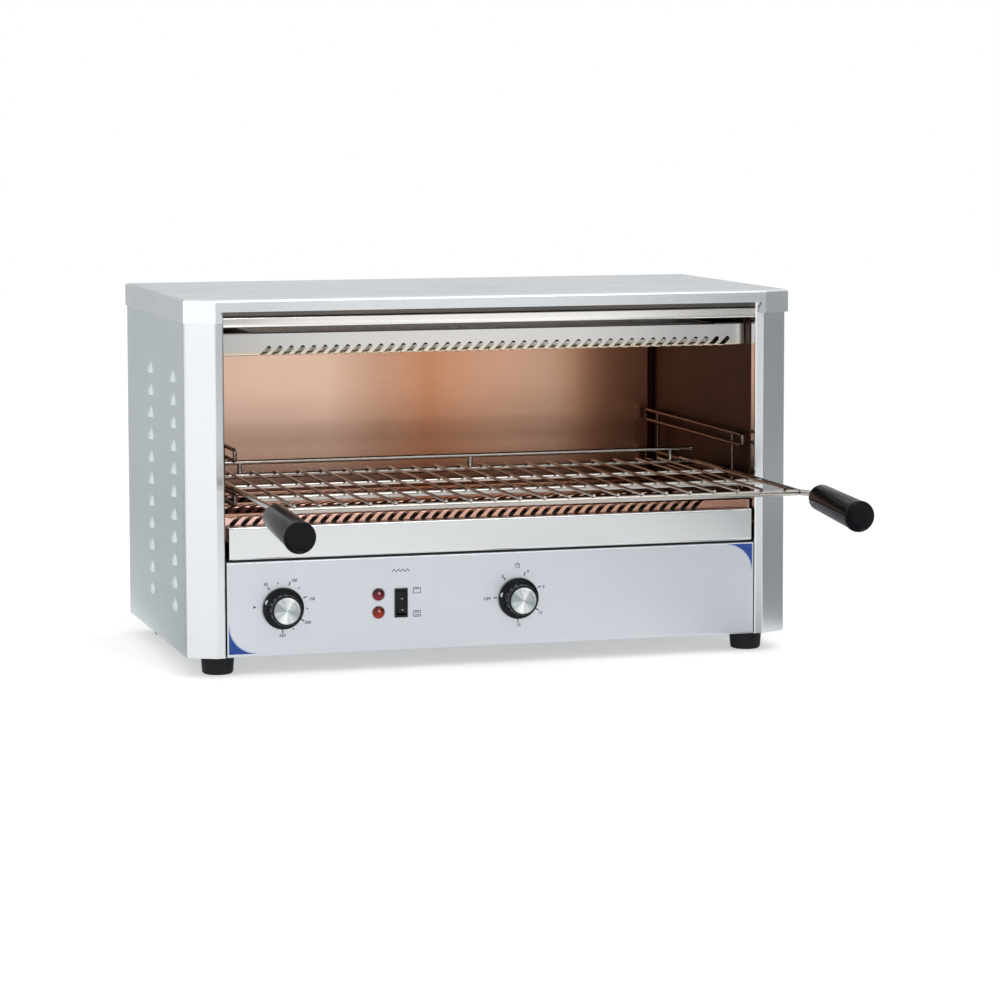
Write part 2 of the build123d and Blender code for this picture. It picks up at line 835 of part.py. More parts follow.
# A pan-head screw whose head seats at a point and whose shank runs inwards
def screw(seat, direction):
    seat = Vector(seat)
    direction = Vector(direction)
    head = bar(seat, seat - direction * screw_head_height, screw_head_radius)
    return head + bar(seat, seat + direction * screw_length, screw_radius)


def cabinet_screws():
    screws = [screw((x, body_depth, z), (0, -1, 0)) for x, z in back_screw_places()]
    seat_z = foot_bore_depth - foot_height
    screws += [screw((x, y, seat_z), (0, 0, 1)) for x, y in foot_places()]
    return Compound(children=screws)


def knob(x):
    waist_y = knob_base_y - knob_base_height
    body = bar((x, waist_y, knob_z), (x, knob_face_y, knob_z), knob_waist_radius, knob_top_radius)
    body = fillet(body.edges().group_by(Axis.Y)[0], knob_edge_radius)
    base = bar((x, knob_base_y, knob_z), (x, waist_y, knob_z), knob_radius)
    base = fillet(base.edges().group_by(Axis.Y)[0], knob_edge_radius)
    recess_y = knob_face_y + knob_cap_sunk
    recess = bar((x, recess_y, knob_z), (x, knob_face_y, knob_z), knob_cap_radius + running_gap)
    bore_end = knob_base_y - knob_bore_depth
    bore = bar((x, knob_base_y, knob_z), (x, bore_end, knob_z), shaft_radius + running_gap)
    return body + base - recess - bore


def knob_cap(x):
    start = (x, knob_face_y + knob_cap_sunk, knob_z)
    end = (x, knob_face_y - knob_cap_proud, knob_z)
    cap = bar(start, end, knob_cap_radius)
    return chamfer(cap.edges().group_by(Axis.Y)[0], knob_cap_proud / 2)


def shaft(x):
    start = (x, panel_back_y + shaft_in_body - seam_gap, knob_z)
    return bar(start, (x, knob_base_y - knob_bore_depth + seam_gap, knob_z), shaft_radius)


# The switching body behind a knob, with a round bush that centres it in the panel
def control_body(x):
    half = control_body_width / 2
    rear_y = panel_back_y + control_body_depth
    body = block(x - half, x + half, panel_back_y, rear_y, knob_z - half, knob_z + half)
    body += bar((x, panel_back_y, knob_z), (x, panel_face_y, knob_z), bush_radius)
    hole_end = (x, panel_back_y + shaft_in_body, knob_z)
    return body - bar((x, panel_face_y, knob_z), hole_end, shaft_radius + running_gap)


# The thermostat's bulb is clamped to the outside of the left wall of the cooking space, and a
# thin tube joins it to the body behind the panel
def thermostat_body():
    body = control_body(thermostat_x)
    side_x = (liner_half + inner_half) / 2
    bulb_x = liner_half + liner_sheet + bulb_radius
    tube_z = knob_z + tube_above_shaft
    bulb_z = ceiling_z - bulb_below_ceiling
    rear_y = panel_back_y + control_body_depth
    path = FilletPolyline(
        (thermostat_x, rear_y, tube_z),
        (thermostat_x, wire_hole_y, tube_z),
        (-side_x, wire_hole_y, tube_z),
        (-side_x, wire_hole_y, bulb_z),
        (-bulb_x, wire_hole_y, bulb_z),
        (-bulb_x, bulb_y, bulb_z),
        radius=bulb_radius,
    )
    section = Plane(origin=path @ 0, z_dir=path % 0) * Circle(capillary_radius)
    body += sweep(section, path=path)
    bulb_end = (-bulb_x, bulb_y + bulb_length, bulb_z)
    return body + bar((-bulb_x, bulb_y, bulb_z), bulb_end, bulb_radius)


def lamp_heights():
    return [lamp_centre_z + lamp_spacing / 2, lamp_centre_z - lamp_spacing / 2]


def pilot_lamp(z):
    dome_radius = (lamp_radius**2 + lamp_rise**2) / (2 * lamp_rise)
    centre = Pos(lamp_x, panel_face_y - lamp_rise + dome_radius, z)
    room = 2 * lamp_radius
    front = block(
        lamp_x - room, lamp_x + room, panel_face_y - room, panel_face_y, z - room, z + room
    )
    lens = centre * Sphere(dome_radius) & front
    rear_y = panel_face_y + lamp_barrel_length
    return lens + bar((lamp_x, panel_face_y, z), (lamp_x, rear_y, z), lamp_barrel_radius)


def switch_housing():
    bezel_y = panel_face_y - switch_bezel
    half_x = switch_width / 2
    half_z = switch_height / 2
    bezel = block(
        switch_x - half_x, switch_x + half_x, bezel_y, panel_face_y, switch_z - half_z,
        switch_z + half_z,
    )
    bezel = fillet(bezel.faces().sort_by(Axis.Y)[0].edges(), switch_edge_radius)
    inner_x = half_x - switch_body_inset
    inner_z = half_z - switch_body_inset
    rear_y = panel_face_y + switch_body_depth
    body = block(
        switch_x - inner_x, switch_x + inner_x, panel_face_y, rear_y, switch_z - inner_z,
        switch_z + inner_z,
    )
    room_x = half_x - switch_wall
    room_z = rocker_radius + rocker_gap
    rocker_swing = rocker_radius * sin(radians(rocker_angle))
    room_end = rocker_pivot_y + rocker_back + 2 * rocker_gap + rocker_swing
    room = block(
        switch_x - room_x, switch_x + room_x, bezel_y, room_end, switch_z - room_z,
        switch_z + room_z,
    )
    pin_reach = inner_x + rocker_pin_length
    pin_hole = bar(
        (switch_x - pin_reach, rocker_pivot_y, switch_z),
        (switch_x + pin_reach, rocker_pivot_y, switch_z),
        rocker_pin_radius + running_gap,
    )
    return bezel + body - room - pin_hole


# The rocker rests with its upper end pressed in
def switch_rocker():
    half_x = switch_width / 2 - switch_wall - rocker_gap
    drum = bar((-half_x, 0, 0), (half_x, 0, 0), rocker_radius)
    reach = 2 * rocker_radius
    drum -= block(-reach, reach, rocker_back, reach, -reach, reach)
    front = [
        (-reach, -reach),
        (-rocker_crest, -reach),
        (-rocker_crest, -rocker_radius),
        (-rocker_valley, 0),
        (-rocker_crest, rocker_radius),
        (-rocker_crest, reach),
        (-reach, reach),
    ]
    front_face = make_face(Polyline(*front, close=True))
    drum -= extrude(Plane.YZ.offset(-reach) * front_face, amount=2 * reach)
    pin_reach = half_x + rocker_pin_length
    drum += bar((-pin_reach, 0, 0), (pin_reach, 0, 0), rocker_pin_radius)
    return Pos(switch_x, rocker_pivot_y, switch_z) * Rot(-rocker_angle, 0, 0) * drum


def terminal_block():
    half = block_length / 2
    top_z = bay_floor + block_height
    ceramic = block(
        gland_x - half, gland_x + half, block_y - block_depth, block_y, bay_floor, top_z
    )
    for way in range(block_ways):
        x = gland_x + (way - (block_ways - 1) / 2) * block_length / block_ways
        for y in (block_y - block_depth / 4, block_y - block_depth * 3 / 4):
            ceramic -= bar((x, y, top_z), (x, y, top_z - block_hole_depth), block_hole_radius)
    return ceramic


def cable_gland():
    inner_y = back_inner_y - gland_flange_height
    flange_y = body_depth + gland_flange_height
    nose_y = flange_y + gland_nose_length
    gland = bar((gland_x, inner_y, gland_z), (gland_x, back_inner_y, gland_z), gland_flange_radius)
    gland += bar((gland_x, inner_y, gland_z), (gland_x, flange_y, gland_z), gland_thread_radius)
    flange = bar((gland_x, body_depth, gland_z), (gland_x, flange_y, gland_z), gland_flange_radius)
    nose = bar((gland_x, flange_y, gland_z), (gland_x, nose_y, gland_z), gland_nose_radius)
    nose = fillet(nose.edges().group_by(Axis.Y)[-1], bend_radius)
    bore_start = (gland_x, inner_y - cut_margin, gland_z)
    bore_end = (gland_x, nose_y + cut_margin, gland_z)
    bore = bar(bore_start, bore_end, gland_bore_radius)
    return gland + flange + nose - bore


def all_pieces():
    pieces = {
        "base_pan": base_pan(),
        "back_panel": back_panel(),
        "top_cover": top_cover(),
        "upper_front_rail": upper_front_rail(),
        "control_panel": control_panel(),
        "control_bay_shelf": control_bay_shelf(),
        "back_liner": back_liner(),
        "ceiling_reflector": ceiling_reflector(),
        "cooking_rack": cooking_rack(),
        "rack_rear_stop": rack_rear_stop(),
        "crumb_tray": crumb_tray(),
        "cabinet_screws": cabinet_screws(),
        "thermostat_body": thermostat_body(),
        "timer_body": control_body(timer_x),
        "red_pilot_lamp": pilot_lamp(lamp_heights()[0]),
        "amber_pilot_lamp": pilot_lamp(lamp_heights()[1]),
        "switch_housing": switch_housing(),
        "switch_rocker": switch_rocker(),
        "terminal_block": terminal_block(),
        "cable_gland": cable_gland(),
    }
    both_sides = {
        "post": right_post(),
        "side_panel": right_side_panel(),
        "liner": right_liner(),
        "upper_bracket": right_upper_bracket(),
        "lower_bracket": right_lower_bracket(),
        "element_insulators": right_insulators(),
        "rack_guide": right_guide(),
        "handle_rod": right_handle_rod(),
        "handle_grip": right_handle_grip(),
    }
    for name, shape in both_sides.items():
        pieces["right_" + name] = shape
        pieces["left_" + name] = mirrored(shape)
    depth_names = ("front", "middle", "rear")
    upper_elements, lower_elements = element_places()
    upper_channels = upper_guards()
    lower_channels = lower_guards()
    for index, depth_name in enumerate(depth_names):
        pieces["upper_guard_" + depth_name] = upper_channels[index]
        pieces["lower_guard_" + depth_name] = lower_channels[index]
        pieces["upper_element_" + depth_name] = heating_element(*upper_elements[index])
        pieces["lower_element_" + depth_name] = heating_element(*lower_elements[index])
    foot_names = ("front_left_foot", "front_right_foot", "rear_left_foot", "rear_right_foot")
    for foot_name, place in zip(foot_names, foot_places()):
        pieces[foot_name] = foot(*place)
    for name, x in (("thermostat", thermostat_x), ("timer", timer_x)):
        pieces[name + "_shaft"] = shaft(x)
        pieces[name + "_knob"] = knob(x)
        pieces[name + "_knob_cap"] = knob_cap(x)
    return pieces


os.makedirs("parts", exist_ok=True)
toaster = all_pieces()
outer_box = Compound(children=[copy.copy(shape) for shape in toaster.values()]).bounding_box()
to_origin = Pos(0, -outer_box.center().Y, foot_height)
for piece_name, piece in toaster.items():
    export_step(to_origin * piece, os.path.join("parts", piece_name + ".step"))
print(len(toaster), "pieces, outer box", outer_box.min, outer_box.max)
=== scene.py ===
import math

import bpy
from mathutils import Matrix, Vector


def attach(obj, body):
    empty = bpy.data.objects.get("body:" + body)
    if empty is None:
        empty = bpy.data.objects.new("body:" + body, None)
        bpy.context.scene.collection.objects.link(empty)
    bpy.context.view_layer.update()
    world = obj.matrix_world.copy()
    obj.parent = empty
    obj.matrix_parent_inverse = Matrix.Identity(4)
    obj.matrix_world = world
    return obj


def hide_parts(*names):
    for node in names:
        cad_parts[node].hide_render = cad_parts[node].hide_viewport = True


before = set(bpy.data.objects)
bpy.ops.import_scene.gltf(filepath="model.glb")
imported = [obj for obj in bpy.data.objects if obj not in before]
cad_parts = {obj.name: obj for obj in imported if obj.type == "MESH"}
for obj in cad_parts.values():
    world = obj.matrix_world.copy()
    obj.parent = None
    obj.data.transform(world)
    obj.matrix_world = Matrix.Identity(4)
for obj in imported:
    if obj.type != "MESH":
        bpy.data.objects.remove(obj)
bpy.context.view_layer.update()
print("frame loaded")


# Places are given in mm across the cabinet, back from its front strips and up from its underside
frameShift = {"back": -24.104, "up": 20.0}


def at(x, y, z):
    return Vector((x, y + frameShift["back"], z + frameShift["up"])) / 1000


def deselectAll():
    if bpy.context.mode != "OBJECT":
        bpy.ops.object.mode_set(mode="OBJECT")
    bpy.ops.object.select_all(action="DESELECT")


def pick(*objects):
    deselectAll()
    for item in objects:
        item.select_set(True)
    bpy.context.view_layer.objects.active = objects[0]


def selectParts(piece, kind, test):
    # Leaves the piece in edit mode with only the parts that pass the test selected
    pick(piece)
    bpy.ops.object.mode_set(mode="EDIT")
    bpy.ops.mesh.select_mode(type=kind)
    bpy.ops.mesh.select_all(action="DESELECT")
    bpy.ops.object.mode_set(mode="OBJECT")
    parts = {"VERT": piece.data.vertices, "EDGE": piece.data.edges, "FACE": piece.data.polygons}
    for part in parts[kind]:
        part.select = test(part)
    bpy.ops.object.mode_set(mode="EDIT")


def settle(piece, name, location=(0, 0, 0), turn=(0, 0, 0), smooth=35):
    # Puts the place in the mesh, mends the normals and shades the piece
    piece.name = name
    piece.data.name = name
    piece.rotation_euler = turn
    piece.location = location
    pick(piece)
    bpy.ops.object.transform_apply(location=True, rotation=True, scale=True)
    bpy.ops.object.mode_set(mode="EDIT")
    bpy.ops.mesh.select_all(action="SELECT")
    bpy.ops.mesh.remove_doubles(threshold=0.000002)
    bpy.ops.mesh.normals_make_consistent(inside=False)
    bpy.ops.object.mode_set(mode="OBJECT")
    bpy.ops.object.shade_smooth_by_angle(angle=math.radians(smooth))
    return piece


def dress(piece, material, body, replaced=()):
    piece.data.materials.clear()
    piece.data.materials.append(material)
    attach(piece, body)
    if replaced:
        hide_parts(*replaced)


def copyOf(piece):
    twin = piece.copy()
    twin.data = piece.data.copy()
    bpy.context.collection.objects.link(twin)
    return twin


def joinAll(pieces):
    pick(*pieces)
    if len(pieces) > 1:
        bpy.ops.object.join()
    return bpy.context.view_layer.objects.active


def thicken(piece, rise):
    # Raises a flat shape into a thin slab, its outline in edit mode all selected
    pick(piece)
    bpy.ops.object.mode_set(mode="EDIT")
    bpy.ops.mesh.select_all(action="SELECT")
    bpy.ops.mesh.extrude_region_move(TRANSFORM_OT_translate={"value": (0, 0, rise / 1000)})
    bpy.ops.object.mode_set(mode="OBJECT")
    return piece


def turned(profile, segments=64, closedTip=False):
    # A turned form along Z from (radius, height) pairs in mm, from its foot to its tip
    deselectAll()
    radius, height = profile[0]
    bpy.ops.mesh.primitive_circle_add(
        vertices=segments, radius=radius / 1000, fill_type="NGON", location=(0, 0, height / 1000)
    )
    piece = bpy.context.object
    bpy.ops.object.transform_apply(location=True)
    bpy.ops.object.mode_set(mode="EDIT")
    bpy.ops.mesh.select_all(action="SELECT")
    for nextRadius, nextHeight in profile[1:]:
        rise = (nextHeight - height) / 1000
        bpy.ops.mesh.extrude_region_move(TRANSFORM_OT_translate={"value": (0, 0, rise)})
        spread = nextRadius / radius
        bpy.ops.transform.resize(
            value=(spread, spread, 1), center_override=(0, 0, nextHeight / 1000)
        )
        radius, height = nextRadius, nextHeight
    if closedTip:
        bpy.ops.mesh.merge(type="CENTER")
    bpy.ops.object.mode_set(mode="OBJECT")
    return piece


def toLinear(hexText):
    channels = [int(hexText[start : start + 2], 16) / 255 for start in (1, 3, 5)]
    linear = [c / 12.92 if c <= 0.04045 else ((c + 0.055) / 1.055) ** 2.4 for c in channels]
    return linear + [1.0]


def addNode(tree, kind, settings=None, links=None):
    # Settings are for sockets by name or number, or else for the node itself, and a link from a
    # whole node takes its first output
    node = tree.nodes.new(kind)
    for key, value in (settings or {}).items():
        if isinstance(key, int) or key in node.inputs:
            node.inputs[key].default_value = value
        else:
            setattr(node, key, value)
    for key, source in (links or {}).items():
        if isinstance(source, bpy.types.Node):
            source = source.outputs[0]
        tree.links.new(source, node.inputs[key])
    return node


def newMaterial(name):
    material = bpy.data.materials.new(name)
    material.use_nodes = True
    tree = material.node_tree
    tree.nodes.clear()
    return material, tree


# Size of the metals' grain in mm along X, Y and Z. Brushed lines and turning marks are finer on
# the real thing, and are drawn as coarse as they need to be to show
grainSizes = {
    "across": (166.7, 0.7143, 0.7143),
    "upright": (0.7143, 0.7143, 166.7),
    "rolled": (25.0, 25.0, 25.0),
    "turned": (3.333, 3.333, 3.333),
}


def grainScale(finish):
    return [1000 / size for size in grainSizes[finish["grain"]]]


brushing = {
    "patchSize": 200.0,  # mm across a patch left by wiping
    "grainShare": 0.55,
    "spread": (0.45, 1.1),
    "roughSwing": 0.05,
    "bump": 0.35,
    "depth": 0.00001,
}


def brushedMetal(name, finish):
    # Fine lines along one axis that stretch the highlights, over broad patches left by wiping
    material, tree = newMaterial(name)
    coords = addNode(tree, "ShaderNodeTexCoord").outputs["Object"]
    along = addNode(tree, "ShaderNodeMapping", {"Scale": grainScale(finish)}, {"Vector": coords})
    grain = addNode(tree, "ShaderNodeTexNoise", {"Scale": 1.0, "Detail": 3.0}, {"Vector": along})
    clouds = addNode(
        tree,
        "ShaderNodeTexNoise",
        {"Scale": 1000 / brushing["patchSize"], "Detail": 4.0},
        {"Vector": coords},
    )
    both = addNode(
        tree,
        "ShaderNodeMath",
        {"operation": "MULTIPLY_ADD", 1: brushing["grainShare"]},
        {0: grain, 2: clouds},
    )
    low, high = brushing["spread"]
    spread = addNode(
        tree, "ShaderNodeMapRange", {"From Min": low, "From Max": high}, {"Value": both}
    )
    colour = addNode(
        tree,
        "ShaderNodeMixRGB",
        {"Color1": toLinear(finish["dark"]), "Color2": toLinear(finish["light"])},
        {"Fac": spread},
    )
    swing = brushing["roughSwing"]
    rough = addNode(
        tree,
        "ShaderNodeMapRange",
        {"To Min": finish["rough"] - swing, "To Max": finish["rough"] + swing},
        {"Value": spread},
    )
    bump = addNode(
        tree,
        "ShaderNodeBump",
        {"Strength": brushing["bump"], "Distance": finish.get("depth", brushing["depth"])},
        {"Height": grain},
    )
    shader = addNode(
        tree,
        "ShaderNodeBsdfPrincipled",
        {"Metallic": 1.0},
        {"Base Color": colour, "Roughness": rough, "Normal": bump},
    )
    addNode(tree, "ShaderNodeOutputMaterial", links={"Surface": shader})
    return material


tinting = {"driftSize": 111.1, "roughSwing": 0.05, "bump": 0.2, "depth": 0.00001}


def tintedSheet(name, finish):
    # Bright sheet, its colour changing along an axis: stops of (mm along an axis, colour), with a
    # slow drift. The stops hold heat tint, with painted reflection, shade and glint in some
    # finishes, as each finish says
    material, tree = newMaterial(name)
    coords = addNode(tree, "ShaderNodeTexCoord").outputs["Object"]
    axes = addNode(tree, "ShaderNodeSeparateXYZ", links={"Vector": coords}).outputs
    drift = addNode(
        tree,
        "ShaderNodeTexNoise",
        {"Scale": 1000 / tinting["driftSize"], "Detail": 3.0},
        {"Vector": coords},
    )
    shift = finish["drift"] / 1000
    moved = addNode(
        tree, "ShaderNodeMapRange", {"To Min": -shift, "To Max": shift}, {"Value": drift}
    )
    place = addNode(
        tree, "ShaderNodeMath", {"operation": "ADD"}, {0: axes[finish["axis"]], 1: moved}
    )
    start, end = finish["stops"][0][0], finish["stops"][-1][0]
    share = addNode(
        tree,
        "ShaderNodeMapRange",
        {"From Min": start / 1000, "From Max": end / 1000},
        {"Value": place},
    )
    ramp = addNode(tree, "ShaderNodeValToRGB", links={"Fac": share})
    for index, (reach, hexText) in enumerate(finish["stops"]):
        position = (reach - start) / (end - start)
        if index < 2:
            stop = ramp.color_ramp.elements[index]
            stop.position = position
        else:
            stop = ramp.color_ramp.elements.new(position)
        stop.color = toLinear(hexText)
    along = addNode(tree, "ShaderNodeMapping", {"Scale": grainScale(finish)}, {"Vector": coords})
    grain = addNode(tree, "ShaderNodeTexNoise", {"Scale": 1.0, "Detail": 2.0}, {"Vector": along})
    swing = tinting["roughSwing"]
    rough = addNode(
        tree,
        "ShaderNodeMapRange",
        {"To Min": finish["rough"] - swing, "To Max": finish["rough"] + swing},
        {"Value": drift},
    )
    bump = addNode(
        tree,
        "ShaderNodeBump",
        {"Strength": tinting["bump"], "Distance": tinting["depth"]},
        {"Height": grain},
    )
    shader = addNode(
        tree,
        "ShaderNodeBsdfPrincipled",
        {"Metallic": 1.0},
        {"Base Color": ramp, "Roughness": rough, "Normal": bump},
    )
    addNode(tree, "ShaderNodeOutputMaterial", links={"Surface": shader})
    return material


moulding = {
    "mottleSize": 16.67,
    "grainSize": 0.6667,  # mm, coarser than the real grain, so that it shows
    "roughSwing": 0.04,
    "bump": 0.3,
    "depth": 0.00002,
}


def moulded(name, finish):
    # Moulded plastic, rubber, ceramic or ink: faint mottling over the fine grain of its mould
    material, tree = newMaterial(name)
    coords = addNode(tree, "ShaderNodeTexCoord").outputs["Object"]
    mottle = addNode(
        tree,
        "ShaderNodeTexNoise",
        {"Scale": 1000 / moulding["mottleSize"], "Detail": 3.0},
        {"Vector": coords},
    )
    grain = addNode(
        tree,
        "ShaderNodeTexNoise",
        {"Scale": 1000 / moulding["grainSize"], "Detail": 2.0},
        {"Vector": coords},
    )
    colour = addNode(
        tree,
        "ShaderNodeMixRGB",
        {"Color1": toLinear(finish["dark"]), "Color2": toLinear(finish["light"])},
        {"Fac": mottle},
    )
    swing = moulding["roughSwing"]
    rough = addNode(
        tree,
        "ShaderNodeMapRange",
        {"To Min": finish["rough"] - swing, "To Max": finish["rough"] + swing},
        {"Value": mottle},
    )
    bump = addNode(
        tree,
        "ShaderNodeBump",
        {"Strength": moulding["bump"], "Distance": finish.get("depth", moulding["depth"])},
        {"Height": grain},
    )
    shader = addNode(
        tree,
        "ShaderNodeBsdfPrincipled",
        {"Specular IOR Level": finish["shine"]},
        {"Base Color": colour, "Roughness": rough, "Normal": bump},
    )
    addNode(tree, "ShaderNodeOutputMaterial", links={"Surface": shader})
    return material


# Sheet, wire and turned metal of the frame's own pieces
metalFinishes = {
    # Satin brushed stainless, cool and pale; the cover is brushed along the cabinet
    "satinStainlessCover": {
        "dark": "#DBDFE1", "light": "#E8EBED", "grain": "across", "rough": 0.28,
        "nodes": ("top_cover",),
    },
    "satinStainlessPosts": {
        "dark": "#D3D6D8", "light": "#E0E3E5", "grain": "upright", "rough": 0.2,
        "nodes": ("left_post", "right_post"),
    },
    # The sides are the cover's steel given a darker, blue-green cast, which is painted shade
    "paintedShadeStainlessSides": {
        "dark": "#D0D9DC", "light": "#DDE5E8", "grain": "upright", "rough": 0.3,
        "nodes": ("left_side_panel", "right_side_panel"),
    },
    "satinStainlessBack": {
        "dark": "#C2C8CB", "light": "#D2D7D9", "grain": "across", "rough": 0.38,
        "nodes": ("back_panel",),
    },
    # The control panel is finer and duller than the rest, and a little blue
    "mattStainlessPanel": {
        "dark": "#D1D6DC", "light": "#DCE0E6", "grain": "across", "rough": 0.45,
        "depth": 0.000005, "nodes": ("control_panel",),
    },
    "brightStainlessRail": {
        "dark": "#EAE7E2", "light": "#F6F4F0", "grain": "across", "rough": 0.16,
        "nodes": ("upper_front_rail",),
    },
    # Zinc-coated sheet under the toaster and inside it, dull and spangled
    "zincCoatedSheet": {
        "dark": "#80868A", "light": "#9EA3A6", "grain": "rolled", "rough": 0.5,
        "nodes": ("base_pan",),
    },
    # Sheet painted near black as shade, so that the gap between the crumb tray and the control
    # panel and the spaces by the lower brackets look dark
    "paintedShadeSheet": {
        "dark": "#2C2A29", "light": "#43403D", "grain": "rolled", "rough": 0.5,
        "nodes": ("control_bay_shelf", "left_lower_bracket", "right_lower_bracket"),
    },
    # Dark grey sheet inside the top; on the baffle in the slot over the opening its darkness is
    # painted shade
    "darkGreySheet": {
        "dark": "#5F5A56", "light": "#77716B", "grain": "across", "rough": 0.35,
        "nodes": ("ceiling_reflector", "left_upper_bracket", "right_upper_bracket"),
    },
    # Bright plated wire with sharp glints; the rack guides by the side walls are painted dark brown
    # as shade
    "platedWire": {
        "dark": "#A39D98", "light": "#C6C0BA", "grain": "turned", "rough": 0.16,
        "nodes": ("cooking_rack", "rack_rear_stop", "left_handle_rod", "right_handle_rod"),
    },
    "paintedShadeWire": {
        "dark": "#5C4C47", "light": "#7E6C65", "grain": "turned", "rough": 0.22,
        "nodes": ("left_rack_guide", "right_rack_guide"),
    },
    # Turned and plated steel of the controls
    "platedSteel": {
        "dark": "#9EA1A3", "light": "#BFC2C4", "grain": "turned", "rough": 0.28,
        "nodes": ("thermostat_body", "timer_body", "thermostat_shaft", "timer_shaft"),
    },
    # Nickel alloy sheath of the heating elements, dark and dull from oxide
    "oxidisedSheath": {
        "dark": "#2B2624", "light": "#4A413C", "grain": "turned", "rough": 0.55,
        "nodes": (
            "upper_element_front", "upper_element_middle", "upper_element_rear",
            "lower_element_front", "lower_element_middle", "lower_element_rear",
        ),
    },
}

# Stainless sheet of the cooking space, tinted by heat from straw to brown, with painted reflection,
# shade and glint in places, as noted below
tintedFinishes = {
    # The back wall's heat tint holds a painted reflection: the step down from 160 to 205 mm and on
    # to the right end paints the dark right wall mirrored in it. It is also darker around the
    # middle
    "heatTintAndPaintedReflectionBack": {
        "axis": "X", "drift": 2, "grain": "across", "rough": 0.26,
        "stops": (
            (-282, "#F4D0BA"), (-100, "#F4CDB6"), (-40, "#D9A98D"), (16, "#D2936F"),
            (110, "#EEBA9C"), (160, "#EFBFA2"), (205, "#E8AC88"), (282, "#DA9A74"),
        ),
        "nodes": ("back_liner",),
    },
    # The right wall is the left wall's sheet painted near-black brown: its heat tint darkened by
    # painted shade
    "heatBrownAndPaintedShadeSide": {
        "axis": "Y", "drift": 20, "grain": "upright", "rough": 0.5,
        "stops": ((-24, "#3E2A26"), (150, "#38241F"), (310, "#3F2A25")),
        "nodes": ("right_liner",),
    },
    "heatStrawedSide": {
        "axis": "Y", "drift": 20, "grain": "upright", "rough": 0.26,
        "stops": ((-24, "#CFAE9D"), (150, "#D9B8A4"), (310, "#D3AC97")),
        "nodes": ("left_liner",),
    },
    # The upper guards stay bright; the straw band at the slotted bend nearest the rods is a painted
    # glint, standing for the gold glints seen through the slots
    "paintedGlintGuard": {
        "axis": "Z", "drift": 1, "grain": "across", "rough": 0.2,
        "stops": (
            (320.0, "#F0DFC2"), (323.5, "#E4D6BF"), (327.0, "#D6D3CF"), (345.0, "#D8D6D4"),
        ),
        "nodes": ("upper_guard_front", "upper_guard_middle", "upper_guard_rear"),
    },
    "brownedGuard": {
        "axis": "X", "drift": 30, "grain": "across", "rough": 0.2,
        "stops": ((-280, "#E8BDB2"), (-120, "#D8AB98"), (100, "#C99B86"), (280, "#B98C78")),
        "nodes": ("lower_guard_front", "lower_guard_middle", "lower_guard_rear"),
    },
    # The crumb tray's front is kept bright, and its floor behind the front is dark brown
    "brightTray": {
        "axis": "Y", "drift": 0.5, "grain": "across", "rough": 0.24,
        "stops": ((-24, "#DCDEDF"), (-15, "#D6D8D9"), (-11, "#7A655C"), (300, "#6A564E")),
        "nodes": ("crumb_tray",),
    },
}

# Plastics, rubber, ceramic and inks
mouldedFinishes = {
    # Phenolic resin, compression moulded: deep black with a soft wet shine
    "phenolicBlack": {"dark": "#05070A", "light": "#0A0D12", "rough": 0.2, "shine": 0.13},
    # ABS knobs, satin moulded
    "satinKnobBlack": {"dark": "#05070B", "light": "#0A0D12", "rough": 0.2, "shine": 0.2},
    # Polycarbonate switch parts
    "glossSwitchBlack": {
        "dark": "#0A0C0F", "light": "#101317", "rough": 0.3, "shine": 0.25,
        "nodes": ("switch_housing", "switch_rocker"),
    },
    "glandPolyamide": {"dark": "#101112", "light": "#1A1B1D", "rough": 0.5, "shine": 0.35},
    # Nitrile rubber, dull with a dusty bloom
    "nitrileRubber": {
        "dark": "#1F2022", "light": "#303133", "rough": 0.7, "shine": 0.2, "depth": 0.00005,
        "nodes": ("front_left_foot", "front_right_foot", "rear_left_foot", "rear_right_foot"),
    },
    # Steatite ceramic, unglazed cream
    "steatiteCeramic": {
        "dark": "#CFCABD", "light": "#E2DDD2", "rough": 0.6, "shine": 0.3,
        "nodes": ("left_element_insulators", "right_element_insulators", "terminal_block"),
    },
    # Screen-printing inks, thin and a little glossy
    "blackInk": {
        "dark": "#14171B", "light": "#1E2226", "rough": 0.5, "shine": 0.15, "depth": 0.000004,
    },
    "blueInk": {
        "dark": "#2C4A8E", "light": "#3858A4", "rough": 0.45, "shine": 0.15, "depth": 0.000004,
    },
    # The pale line along the blue corners' arcs is partly print and partly a painted highlight
    "lavenderInkAndHighlight": {
        "dark": "#AEB6D6", "light": "#BCC4E0", "rough": 0.5, "shine": 0.2, "depth": 0.000004,
    },
    "whiteInk": {
        "dark": "#D5DBE4", "light": "#EEF2F6", "rough": 0.5, "shine": 0.3, "depth": 0.000004,
    },
}

materials = {}
for finishes, maker in (
    (metalFinishes, brushedMetal),
    (tintedFinishes, tintedSheet),
    (mouldedFinishes, moulded),
):
    for name, finish in finishes.items():
        materials[name] = maker(name, finish)
        for nodeName in finish.get("nodes", ()):
            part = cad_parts[nodeName]
            part.data.materials.clear()
            part.data.materials.append(materials[name])
print("finishes on the frame's own pieces")


def aboutCentre(tree, centre):
    # Object places counted from a centre, whole and laid flat on the panel
    coords = addNode(tree, "ShaderNodeTexCoord").outputs["Object"]
    local = addNode(
        tree, "ShaderNodeVectorMath", {"operation": "SUBTRACT", 1: centre}, {0: coords}
    )
    flat = addNode(
        tree, "ShaderNodeVectorMath", {"operation": "MULTIPLY", 1: (1, 0, 1)}, {0: local}
    )
    return local, flat


spunDisc = {
    "dark": "#9BA3A5",
    "light": "#F4F8F8",
    "rough": 0.3,
    "ringGap": 0.303,  # mm, wider than the real rings, so that they show
    "ringBump": 0.15,
    "ringDepth": 0.00002,
    # The wedges are painted sheen, light and dark, laid into the disc's colour
    "sheenWedges": ((2.0, -1.05, 1.0), (6.0, 0.5, 0.35), (11.0, 1.7, 0.2)),  # count, turn, strength
    "shades": (-0.9, 1.4),
}


